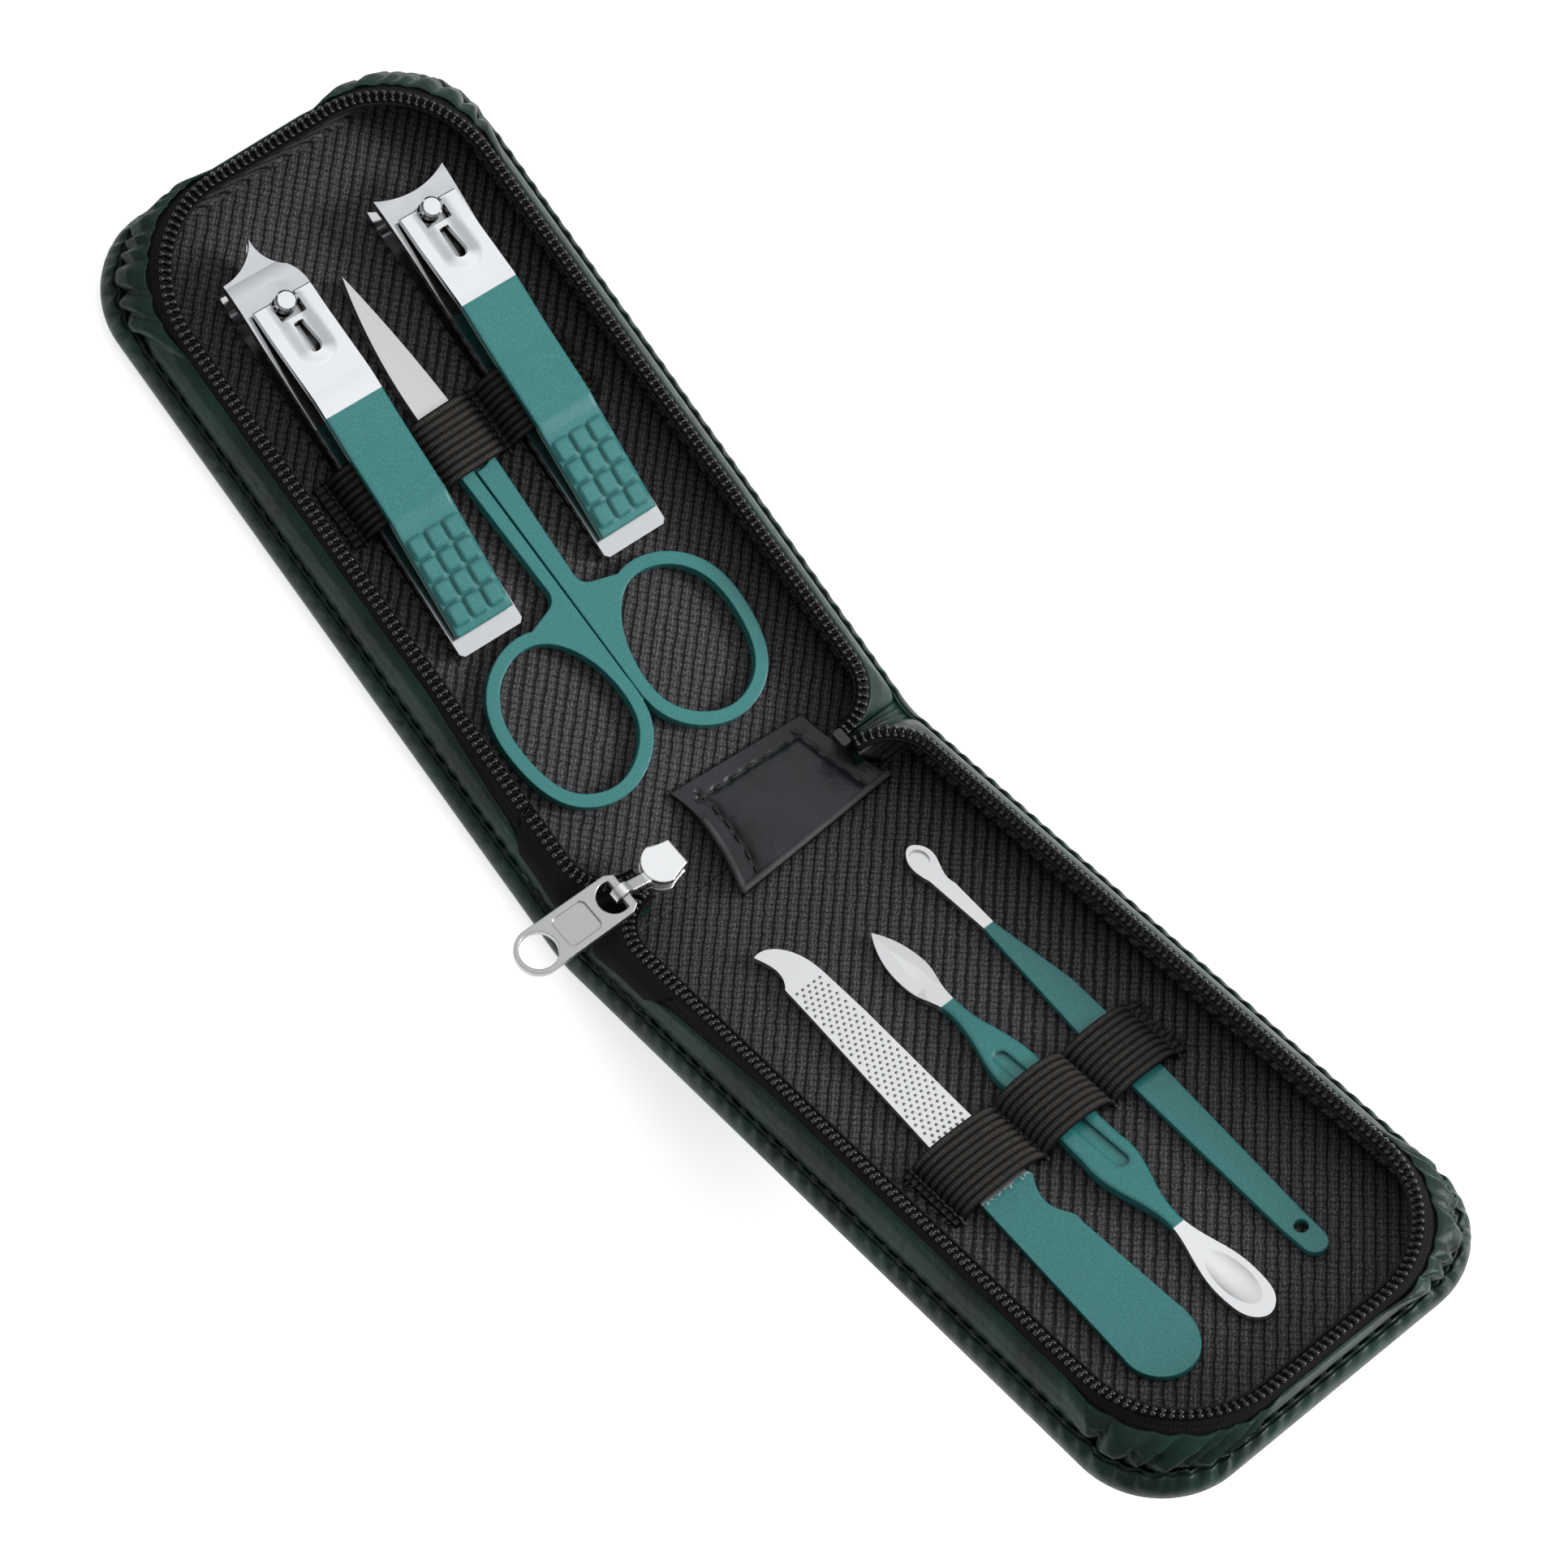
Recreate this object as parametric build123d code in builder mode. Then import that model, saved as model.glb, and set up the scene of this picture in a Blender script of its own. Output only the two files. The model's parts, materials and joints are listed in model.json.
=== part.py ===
from build123d import *
import os
from math import cos, hypot, radians, sin

# Manicure set in a zip-up folding case, lying open. Millimetres, +Z up.
# X runs along the fold, +Y points into half A, which lies flat on the table at Z = 0.
# Half B points to -Y and stands up at an angle. Both halves turn about the fold line,
# which runs at the height of the zip.

os.makedirs("parts", exist_ok=True)

# ---------------------------------------------------------------- case dimensions
half_length = 115.0  # fold line to the far bulge of the cover
half_width = 31.83  # centre line to the side bulge of the cover
fold_height = 10.6  # fold line above the table
open_tilt = 30.5  # degrees that half B stands up from flat
fold_gap = 0.3  # each half stops this far from the fold line
cover_t = 0.8  # leather thickness
board_t = 1.0  # stiffener thickness
lining_t = 0.4  # lining cloth thickness
bulge_height = 2.6  # height of the widest line of the cover
seam_height = 4.7  # height of the stitched groove round the cover
band_top = 9.2  # top edge of the leather band
tape_top = 9.7  # top of the zip tape
rim_height = 10.45  # top of the zip teeth
rim_inset = 5.83  # side bulge of the cover to the middle of the zip
rim_far_inset = 2.5  # far bulge of the cover to the middle of the zip
base_corner = 13.4  # far corner radius of the cover
rim_corner = 16.8  # far corner radius of the zip
end_curl = 7.6  # radius with which the zip curls in towards the fold
mouth_half = half_width - 13.43  # half width of the mouth between the zip ends
foot_half = half_width - 9.23  # half width of the same mouth lower down
soft_end = 4.4  # length of the soft zip ends beside the slider
soft_foot = 6.4  # height from which the zip ends are soft

floor_top = cover_t + board_t + lining_t  # 2.2, the lining that the tools lie on
tool_gap = 0.3  # tools lie this far over the lining
tool_z = floor_top + tool_gap

# ---------------------------------------------------------------- tool dimensions
jaw_t = 1.1
jaw_half = 5.3  # half width of the clipper jaws at the rear
jaw_flare = 5.9  # half width at the cutting edge
jaw_length = 58.8
jaw_slope = 0.0708  # rise of the upper jaw per millimetre
lever_half = 4.65
lever_t = 1.2
post_s = jaw_length - 5.1  # post centre, from the rear of the clipper
post_r = 1.35
post_head_r = 1.55
post_hole_r = 1.6
jaw_gap = 0.1  # between the jaws at their rear
lever_pivot_rise = 1.1  # pivot over the upper jaw
lever_pivot_z = tool_z + 2 * jaw_t + jaw_gap + jaw_slope * post_s + lever_pivot_rise
rivet_s = 5.2
lever_nose = 1.0  # lever in front of its pivot
lever_rear = 2.6  # rear end of the lever, from the rear of the clipper
grip_front = 18.6  # front end of the lever's grip, behind its step
pad_rise = 0.42  # grip pads over the lever
pad_columns = 3
pad_rows = 4
trunnion_r = 0.5  # pins of the lever's fork, in the post's sockets
trunnion_gap = 0.08
fork_half = 2.05  # half width of the fork's mouth
blade_t = 1.0
blade_gap = 0.1
strap_t = 0.6
strap_gap = 0.3

# ---------------------------------------------------------------- working planes
tilt_s = sin(radians(open_tilt))
tilt_c = cos(radians(open_tilt))
half_tilt_s = sin(radians(open_tilt / 2))
half_tilt_c = cos(radians(open_tilt / 2))
tray_a = Plane.XY
tray_b = Plane(
    origin=(0, -fold_height * tilt_s, fold_height * (1 - tilt_c)),
    x_dir=(-1, 0, 0),
    z_dir=(0, tilt_s, tilt_c),
)
# The slider's own plane halves the angle between the two halves.
slider_plane = Plane(
    origin=(0, 0, fold_height), x_dir=(1, 0, 0), z_dir=(0, half_tilt_s, half_tilt_c)
)
straight_tilt = 1.81
slant_tilt = 2.2
straight_bench = Plane(
    origin=(12.1, 39.4, 0),
    x_dir=(cos(radians(straight_tilt)), -sin(radians(straight_tilt)), 0),
    z_dir=(0, 0, 1),
)
slant_bench = Plane(
    origin=(-13.7, 39.1, 0),
    x_dir=(cos(radians(slant_tilt)), -sin(radians(slant_tilt)), 0),
    z_dir=(0, 0, 1),
)


def half_b_point(u, v, h):
    """World place of a point given along, away from and above half B."""
    y = -(v * tilt_c - (h - fold_height) * tilt_s)
    z = v * tilt_s + (h - fold_height) * tilt_c + fold_height
    return Vector(u, y, z)


def ring(tray, outer, inner, mouth=True, soft_side=0):
    """Wall piece of a case half, lofted through round-cornered outlines.

    Each outline is (height, inset from the cover's side bulge, inset from its far bulge,
    far radius, near radius, near end).
    soft_side is -1 or 1 where the corner beside the slider is a separate soft piece.
    """
    with BuildPart() as shell:
        for height, side_inset, far_inset, r_far, r_near, near in outer:
            half = half_width - side_inset
            far = half_length - far_inset
            with BuildSketch(tray.offset(height)):
                with BuildLine():
                    FilletPolyline(
                        (-half, near),
                        (half, near),
                        (half, far),
                        (-half, far),
                        radius=[r_near, r_near, r_far, r_far],
                        close=True,
                    )
                make_face()
        loft(ruled=True)
        for height, side_inset, far_inset, r_far, r_near, near in inner:
            half = half_width - side_inset
            far = half_length - far_inset
            with BuildSketch(tray.offset(height)):
                with BuildLine():
                    FilletPolyline(
                        (-half, near),
                        (half, near),
                        (half, far),
                        (-half, far),
                        radius=[r_near, r_near, r_far, r_far],
                        close=True,
                    )
                make_face()
        if inner:
            loft(ruled=True, mode=Mode.SUBTRACT)
        if mouth:
            with BuildSketch(tray.offset(floor_top - lining_t)):
                with Locations((0, 2.5)):
                    Rectangle(2 * foot_half, 5)
            extrude(amount=soft_foot - floor_top + lining_t, mode=Mode.SUBTRACT)
            with BuildSketch(tray.offset(soft_foot - 0.01)):
                with Locations((0, 2.5)):
                    Rectangle(2 * mouth_half, 5)
            extrude(amount=5, mode=Mode.SUBTRACT)
        if soft_side:
            with BuildSketch(tray.offset(soft_foot)):
                with Locations((soft_side * (mouth_half + 8), soft_end / 2)):
                    Rectangle(16.02, soft_end)
            extrude(amount=5, mode=Mode.SUBTRACT)
    return shell.part


def cover_ring(tray):
    near = fold_gap
    outer = [
        (0.0, 1.25, 1.1, base_corner - 0.4, 0.8, near),
        (cover_t, 0.4, 0.35, base_corner - 0.1, 0.8, near),
        (bulge_height, 0, 0, base_corner, 0.8, near),
        (3.9, 0.38, 0.25, base_corner - 0.1, 0.8, near),
        (seam_height, 1.13, 0.8, base_corner - 0.3, 0.8, near),
    ]
    inner = [
        (cover_t, 1.38, 1.25, base_corner - 0.6, 0.8, -2),
        (bulge_height, 0.9, 0.9, base_corner - 0.5, 0.8, -2),
        (seam_height + 0.1, 1.95, 1.55, base_corner - 0.8, 0.8, -2),
    ]
    return ring(tray, outer, inner, mouth=False)


def band_ring(tray, soft_side):
    near = fold_gap
    outer = [
        (cover_t + board_t, 2.23, 1.9, 12.4, 0.8, near),
        (seam_height + 0.1, 2.03, 1.65, 12.6, 0.8, near),
        (6.3, 2.33, 1.1, 13.4, 2.5, near),
        (7.9, 3.23, 1.0, 14.8, 5.5, near),
        (band_top, rim_inset - 1.3, 1.2, rim_corner, 8.6, near),
    ]
    inner = [
        (cover_t + board_t, 3.13, 2.8, 11.5, 0.6, near + 1.0),
        (seam_height + 0.1, 3.13, 2.7, 11.6, 0.6, near + 1.0),
        (7.9, 4.43, 2.2, 13.7, 4.4, near + 1.1),
        (band_top, rim_inset - 0.2, 2.3, rim_corner - 1.1, 7.5, near + 1.1),
    ]
    return ring(tray, outer, inner, soft_side=soft_side)


def wall_lining_ring(tray, soft_side):
    near = fold_gap + 1.1
    outer = [
        (floor_top, 3.23, 2.9, 11.4, 0.6, near),
        (seam_height + 0.1, 3.23, 2.8, 11.5, 0.6, near),
        (7.9, 4.53, 2.3, 13.6, 4.3, near + 0.1),
        (band_top, rim_inset - 0.1, 2.4, rim_corner - 1.2, 7.4, near + 0.1),
    ]
    inner = [
        (floor_top, 3.73, 3.4, 10.9, 0.5, near + 0.5),
        (seam_height + 0.1, 3.73, 3.3, 11.0, 0.5, near + 0.5),
        (7.9, 5.03, 2.8, 13.1, 3.8, near + 0.6),
        (band_top, rim_inset + 0.4, 2.9, rim_corner - 1.7, 6.9, near + 0.6),
    ]
    return ring(tray, outer, inner, soft_side=soft_side)


def rim_outline(height, grow, grow_far, grow_corner, grow_curl, near):
    """Outline that runs beside the middle of the zip, further out by the given amounts."""
    return (
        height,
        rim_inset - grow,
        rim_far_inset - grow_far,
        rim_corner + grow_corner,
        end_curl + grow_curl,
        near,
    )


def tape_ring(tray, soft_side):
    near = fold_gap
    outer = [
        rim_outline(band_top, 1.2, 1.2, 0, 0.9, near),
        rim_outline(tape_top, 0.9, 1.0, 0, 0.7, near),
    ]
    inner = [
        rim_outline(band_top, -1.0, -1.2, -1.8, -1.4, near + 2.2),
        rim_outline(tape_top, -1.1, -1.3, -1.9, -1.5, near + 2.2),
    ]
    return ring(tray, outer, inner, soft_side=soft_side)


def coil_ring(tray, soft_side):
    near = fold_gap
    mid = (tape_top + rim_height) / 2
    outer = [
        rim_outline(tape_top, 0.6, 0.6, 0.3, 0.5, near + 0.1),
        rim_outline(mid, 0.8, 0.8, 0.5, 0.7, near),
        rim_outline(rim_height, 0.4, 0.4, 0.2, 0.3, near + 0.3),
    ]
    inner = [
        rim_outline(tape_top, -0.6, -0.6, -0.8, -0.7, near + 1.3),
        rim_outline(mid, -0.8, -0.8, -1.0, -0.9, near + 1.5),
        rim_outline(rim_height, -0.4, -0.4, -0.6, -0.5, near + 1.1),
    ]
    return ring(tray, outer, inner, soft_side=soft_side)


def zip_end_ring(tray, soft_side):
    """Soft corner of tape and teeth that runs from the wall to the slider."""
    near = fold_gap
    outer = [
        (soft_foot, 2.43, 2.0, 13.4, 2.6, near),
        (7.9, 3.23, 1.8, 14.8, 5.5, near),
        rim_outline(tape_top, 0.9, 1.0, 0, 0.7, near),
        rim_outline(rim_height, 0.4, 0.4, 0.2, 0.3, near + 0.3),
    ]
    inner = [
        (soft_foot, 3.73, 3.4, 11.4, 1.4, near + 1.6),
        (7.9, 5.03, 2.8, 13.1, 3.8, near + 1.7),
        rim_outline(tape_top, -1.0, -1.2, -1.8, -1.4, near + 2.0),
        rim_outline(rim_height, -0.4, -0.4, -0.6, -0.5, near + 1.1),
    ]
    with BuildPart() as corner:
        add(ring(tray, outer, inner, mouth=False))
        with BuildSketch(tray.offset(soft_foot)):
            with Locations((soft_side * (mouth_half + 8), soft_end / 2)):
                Rectangle(16, soft_end)
        extrude(amount=rim_height - soft_foot, mode=Mode.INTERSECT)
    return corner.part


def sheet(tray, bottom, thickness, side_inset, far_inset, r_far, near):
    """Flat layer of a case half."""
    half = half_width - side_inset
    far = half_length - far_inset
    with BuildPart() as layer:
        with BuildSketch(tray.offset(bottom)):
            with BuildLine():
                FilletPolyline(
                    (-half, near),
                    (half, near),
                    (half, far),
                    (-half, far),
                    radius=[0.8, 0.8, r_far, r_far],
                    close=True,
                )
            make_face()
        extrude(amount=thickness)
    return layer.part


def strap(tray, near, far, humps_near, humps_far, ends):
    """Elastic strap lofted between its two edges, with a hump over each tool.

    A hump is (left, right, underside); ends are the strap's two x limits.
    """
    low = floor_top + 0.05
    with BuildPart() as band:
        for place, humps in ((near, humps_near), (far, humps_far)):
            top = [(ends[0], low + strap_t)]
            under = [(ends[0], low)]
            for left, right, z in humps:
                top += [(left - strap_t, low + strap_t), (left - strap_t + 0.3, z + strap_t)]
                top += [(right + strap_t - 0.3, z + strap_t), (right + strap_t, low + strap_t)]
                under += [(left, low), (left + 0.1, z), (right - 0.1, z), (right, low)]
            top += [(ends[1], low + strap_t)]
            under += [(ends[1], low)]
            # The section stands across the tray, its own y axis along the tray's height.
            origin = tray.from_local_coords((0, place, 0))
            section = Plane(origin=origin, x_dir=tray.x_dir, z_dir=-tray.y_dir)
            with BuildSketch(section):
                with BuildLine():
                    Polyline(*under, *reversed(top), close=True)
                make_face()
        loft(ruled=True)
    return band.part


# ---------------------------------------------------------------- half A, half B: case
for name, tray in (("outer_cover_a", tray_a), ("outer_cover_b", tray_b)):
    cover = cover_ring(tray)
    cover.label = name
    export_step(cover, f"parts/{name}.step")

for name, tray in (("stiffener_board_a", tray_a), ("stiffener_board_b", tray_b)):
    board = sheet(tray, cover_t, board_t, 1.63, 1.5, 12.6, 0.6)
    board.label = name
    export_step(board, f"parts/{name}.step")

for name, tray in (("floor_lining_a", tray_a), ("floor_lining_b", tray_b)):
    lining = sheet(tray, cover_t + board_t, lining_t, 3.33, 3.0, 11.3, 1.6)
    lining.label = name
    export_step(lining, f"parts/{name}.step")

for name, tray, soft_side in (("side_band_a", tray_a, -1), ("side_band_b", tray_b, 1)):
    band = band_ring(tray, soft_side)
    band.label = name
    export_step(band, f"parts/{name}.step")

for name, tray, soft_side in (("wall_lining_a", tray_a, -1), ("wall_lining_b", tray_b, 1)):
    wall = wall_lining_ring(tray, soft_side)
    wall.label = name
    export_step(wall, f"parts/{name}.step")

for name, tray, soft_side in (("zip_tape_a", tray_a, -1), ("zip_tape_b", tray_b, 1)):
    tape = tape_ring(tray, soft_side)
    tape.label = name
    export_step(tape, f"parts/{name}.step")

for name, tray, soft_side in (("zip_coil_a", tray_a, -1), ("zip_coil_b", tray_b, 1)):
    coil = coil_ring(tray, soft_side)
    coil.label = name
    export_step(coil, f"parts/{name}.step")

for name, tray, soft_side in (("zip_end_a", tray_a, -1), ("zip_end_b", tray_b, 1)):
    zip_end = zip_end_ring(tray, soft_side)
    zip_end.label = name
    export_step(zip_end, f"parts/{name}.step")

# Leather back: the section of the cover's edge turned about the fold line.
fold_axis = Axis((0, 0, fold_height), (-1, 0, 0))
spine_edge = [  # inset from the side bulge, height
    (1.25, 0),
    (0.4, cover_t),
    (0, bulge_height),
    (0.38, 3.9),
    (1.13, seam_height),
    (3.03, 5.0),
    (4.83, 6.4),
    (8.73, 8.0),
    (12.83, 9.2),
    (13.03, 8.5),
    (9.13, 7.3),
    (5.43, 5.7),
    (3.43, 4.2),
    (1.43, 3.8),
    (0.88, bulge_height),
    (1.43, cover_t),
]
with BuildPart() as spine:
    with BuildSketch(Plane.XZ):
        with BuildLine():
            edge = [(half_width - inset, height) for inset, height in spine_edge]
            Polyline((0, 0), *edge, (0, cover_t), close=True)
        make_face()
        mirror(about=Plane.YZ)
    revolve(axis=fold_axis, revolution_arc=open_tilt)
spine.part.label = "spine"
export_step(spine.part, "parts/spine.step")

# Lining cloth across the fold.
with BuildPart() as fold_lining:
    with BuildSketch(Plane.XZ):
        with Locations((0, floor_top - lining_t / 2)):
            Rectangle(2 * foot_half - 0.6, lining_t)
    revolve(axis=fold_axis, revolution_arc=open_tilt)
fold_lining.part.label = "fold_lining"
export_step(fold_lining.part, "parts/fold_lining.step")

# Leather patch over the fold, highest over the fold line.
patch_t = 0.9
patch_crest = floor_top + 2.5
patch_left = [Vector(-5.2, 7.9, floor_top + 0.05 + patch_t / 2), Vector(-4.5, 0.2, patch_crest)]
patch_right = [Vector(17.8, 6.4, floor_top + 0.05 + patch_t / 2), Vector(18.9, -0.1, patch_crest)]
patch_left.append(half_b_point(-6.8, 6.4, floor_top + 0.35 + patch_t / 2))
patch_right.append(half_b_point(21.9, 4.6, floor_top + 0.35 + patch_t / 2))
patch_up = [Vector(0, 0, 1), Vector(0, half_tilt_s, half_tilt_c), Vector(0, tilt_s, tilt_c)]
with BuildPart() as hinge_patch:
    for left, right, up in zip(patch_left, patch_right, patch_up):
        along = (right - left).normalized()
        across = along.cross(up).normalized()
        with BuildSketch(Plane(origin=(left + right) * 0.5, x_dir=along, z_dir=across)):
            Rectangle((right - left).length, patch_t)
    loft(ruled=True)
hinge_patch.part.label = "hinge_patch"
export_step(hinge_patch.part, "parts/hinge_patch.step")

# ---------------------------------------------------------------- zip slider and pull
plate_t = 0.8
slider_top = 1.1  # top of the back plate over the fold line
slider_low = -2.4  # underside of the front plate
slider_x = 3.1 - mouth_half  # middle of the slider's round end
bail_x = slider_x - 7.2
bail_z = 1.75
bail_r = 0.85  # eye of the neck, round the pull's bar
with BuildPart() as zip_slider:
    # Both plates share the outline: round and wide at one end, waisted to the other.
    for level in (slider_low, slider_top - plate_t):
        with BuildSketch(slider_plane.offset(level)):
            with BuildLine():
                Line((slider_x + 3.1, -1.7), (slider_x + 3.1, 2.5))
                ThreePointArc((slider_x + 3.1, 2.5), (slider_x + 1.3, 2.9), (slider_x, 3.4))
                ThreePointArc((slider_x, 3.4), (slider_x - 2.6, 0.4), (slider_x, -2.6))
                ThreePointArc((slider_x, -2.6), (slider_x + 1.3, -2.1), (slider_x + 3.1, -1.7))
            make_face()
        extrude(amount=plate_t)
    # Wedge that parts the two rows of teeth.
    with BuildSketch(slider_plane.offset(slider_low + plate_t)):
        with BuildLine():
            Line((slider_x - 1.5, -0.4), (slider_x - 1.5, 1.2))
            ThreePointArc((slider_x - 1.5, 1.2), (slider_x + 0.1, 1.3), (slider_x + 1.9, 0.4))
            ThreePointArc((slider_x + 1.9, 0.4), (slider_x + 0.1, -0.5), (slider_x - 1.5, -0.4))
        make_face()
    extrude(amount=slider_top - slider_low - 2 * plate_t)
    # Neck that rises from the wedge's end and closes round the bar of the pull.
    neck_plane = Plane(
        origin=slider_plane.from_local_coords((0, 0, 0)),
        x_dir=(1, 0, 0),
        z_dir=-slider_plane.y_dir,
    )
    with BuildSketch(neck_plane.offset(-0.8)):
        with Locations((bail_x, bail_z)):
            Circle(bail_r + 0.6)
        with BuildLine():
            Polyline(
                (bail_x + 0.9, bail_z - 1.1),
                (slider_x - 3.3, 0.1),
                (slider_x - 1.3, -0.6),
                (slider_x - 1.3, 0.6),
                (slider_x - 3.1, 1.1),
                (bail_x + 1.0, bail_z + 0.6),
                close=True,
            )
        make_face()
        with Locations((bail_x, bail_z)):
            Circle(bail_r, mode=Mode.SUBTRACT)
    extrude(amount=1.6)
zip_slider.part.label = "zip_slider"
export_step(zip_slider.part, "parts/zip_slider.step")

pull_t = 1.0
pull_half = 3.3
ring_x = bail_x - 14.4  # centre of the round hole at the free end
ring_hole_r = 2.75
with BuildPart() as zip_pull:
    with BuildSketch(slider_plane.offset(bail_z - pull_t / 2)):
        with BuildLine():
            Line((bail_x + 0.6, -2.6), (bail_x + 0.6, 2.6))
            Line((bail_x + 0.6, 2.6), (bail_x - 0.6, pull_half))
            Line((bail_x - 0.6, pull_half), (ring_x, pull_half + 0.1))
            ThreePointArc(
                (ring_x, pull_half + 0.1), (ring_x - pull_half - 0.1, 0), (ring_x, -pull_half - 0.1)
            )
            Line((ring_x, -pull_half - 0.1), (bail_x - 0.6, -pull_half))
            Line((bail_x - 0.6, -pull_half), (bail_x + 0.6, -2.6))
        make_face()
        with Locations((ring_x, 0)):
            Circle(ring_hole_r, mode=Mode.SUBTRACT)
        with BuildLine():
            Line((bail_x - 0.55, -2.3), (bail_x - 0.55, 2.3))
            ThreePointArc(
                (bail_x - 0.55, 2.3), (bail_x - 3.9, 0), (bail_x - 0.55, -2.3)
            )
        make_face(mode=Mode.SUBTRACT)
    extrude(amount=pull_t)
    # Pressed recess between raised edges.
    with BuildSketch(slider_plane.offset(bail_z + pull_t / 2 - 0.25)):
        with Locations(((ring_x + ring_hole_r + bail_x - 4.0) / 2, 0)):
            Rectangle(bail_x - ring_x - ring_hole_r - 6.2, 4.8)
        fillet(vertices(), radius=0.8)
    extrude(amount=0.5, mode=Mode.SUBTRACT)
zip_pull.part.label = "zip_pull"
export_step(zip_pull.part, "parts/zip_pull.step")

# Clip that ends the zip at the other side of the case.
with BuildPart() as zip_end_stop:
    with BuildSketch(slider_plane.offset(-0.9)):
        with Locations((mouth_half - 1.0, 0.3)):
            RectangleRounded(1.5, 2.6, 0.4)
    extrude(amount=1.3)
zip_end_stop.part.label = "zip_end_stop"
export_step(zip_end_stop.part, "parts/zip_end_stop.step")

# ---------------------------------------------------------------- elastic straps
strap_near = 60.0
strap_far = 70.0
clipper_rear = 39.4  # rear of the straight clipper, away from the fold
jaw_top_near = tool_z + 2 * jaw_t + jaw_gap + (strap_near - clipper_rear) * jaw_slope
jaw_top_far = tool_z + 2 * jaw_t + jaw_gap + (strap_far - clipper_rear) * jaw_slope
scissors_top = tool_z + 2 * blade_t + blade_gap
elastic_band_a = strap(
    tray_a,
    strap_near,
    strap_far,
    [
        (-18.8, -6.8, jaw_top_near + strap_gap + 0.1),
        (-5.3, 3.8, scissors_top + strap_gap),
        (6.9, 19.0, jaw_top_near + strap_gap + 0.1),
    ],
    [
        (-18.8, -6.8, jaw_top_far + strap_gap + 0.1),
        (-5.3, 3.8, scissors_top + strap_gap),
        (6.9, 19.0, jaw_top_far + strap_gap + 0.1),
    ],
    (-21.6, 21.2),
)
elastic_band_a.label = "elastic_band_a"
export_step(elastic_band_a, "parts/elastic_band_a.step")

file_t = 1.0
pusher_t = 1.8
spear_t = 0.85
spoon_t = 0.9
pick_t = 1.0
humps_b = [
    (-17.5, -10.3, tool_z + pick_t + strap_gap),
    (-5.2, 2.4, tool_z + pusher_t + strap_gap),
    (6.6, 16.8, tool_z + file_t + strap_gap),
]
elastic_band_b = strap(tray_b, 55.0, 65.5, humps_b, humps_b, (-20.5, 19.5))
elastic_band_b.label = "elastic_band_b"
export_step(elastic_band_b, "parts/elastic_band_b.step")


# ---------------------------------------------------------------- nail clippers
def jaw_top(s):
    """Height of the upper jaw's top, by distance from the rear of the clipper."""
    return tool_z + 2 * jaw_t + jaw_gap + jaw_slope * s


def jaw_plan(bench, slanted):
    """Plan of a jaw, as a tall block that the side profile is cut with."""
    with BuildPart() as block:
        with BuildSketch(bench.offset(tool_z - 1)):
            with BuildLine():
                if slanted:
                    Polyline(
                        (5.05, jaw_length - 5.5),
                        (5.4, jaw_length - 16.2),
                        (jaw_half, 0.6),
                        (jaw_half - 0.6, 0),
                        (-jaw_half + 0.6, 0),
                        (-jaw_half, 0.6),
                        (-5.6, jaw_length - 8.8),
                        (-5.6, jaw_length + 1.3),
                    )
                    tip = (1.6, jaw_length + 5.5)
                    shoulder = (3.9, jaw_length - 0.2)
                    ThreePointArc((-5.6, jaw_length + 1.3), (-1.4, jaw_length + 2.5), tip)
                    ThreePointArc(tip, (2.0, jaw_length + 1.8), shoulder)
                    ThreePointArc(shoulder, (5.0, jaw_length - 2.4), (5.05, jaw_length - 5.5))
                else:
                    Polyline(
                        (jaw_flare, jaw_length),
                        (5.6, jaw_length - 8.8),
                        (jaw_half, 0.6),
                        (jaw_half - 0.6, 0),
                        (-jaw_half + 0.6, 0),
                        (-jaw_half, 0.6),
                        (-5.6, jaw_length - 8.8),
                        (-jaw_flare, jaw_length),
                    )
                    ThreePointArc(
                        (-jaw_flare, jaw_length),
                        (0, jaw_length - 1.5),
                        (jaw_flare, jaw_length),
                    )
            make_face()
        extrude(amount=12)
    return block.part


def side_plane(bench, x):
    """Plane across the clipper at x, whose own axes are distance and height."""
    origin = bench.from_local_coords((x, 0, 0))
    return Plane(origin=origin, x_dir=bench.y_dir, z_dir=bench.x_dir)


def lower_jaw(bench, slanted):
    reach = jaw_length + 7.2
    lip = jaw_length - 3.6
    with BuildPart() as jaw:
        with BuildSketch(side_plane(bench, -8)):
            with BuildLine():
                Polyline(
                    (lip, tool_z + jaw_t),
                    (0, tool_z + jaw_t),
                    (0, tool_z),
                    (lip, tool_z),
                )
                Spline((lip, tool_z), (lip + 2.4, tool_z + 0.35), (reach, tool_z + 3.4))
                Line((reach, tool_z + 3.4), (reach, tool_z + 3.9))
                Spline(
                    (reach, tool_z + 3.9), (lip + 2.2, tool_z + jaw_t + 0.5), (lip, tool_z + jaw_t)
                )
            make_face()
        extrude(amount=16)
        add(jaw_plan(bench, slanted), mode=Mode.INTERSECT)
        with BuildSketch(bench.offset(tool_z - 1)):
            with Locations((0, post_s)):
                Circle(post_hole_r)
        extrude(amount=4, mode=Mode.SUBTRACT)
        with BuildSketch(bench.offset(tool_z)):
            with Locations((0, post_s)):
                Circle(post_r + 0.75)
        extrude(amount=0.6, mode=Mode.SUBTRACT)
        with BuildSketch(bench.offset(tool_z - 1)):
            with Locations((0, rivet_s)):
                Circle(1.0)
        extrude(amount=4, mode=Mode.SUBTRACT)
    return jaw.part


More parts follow.
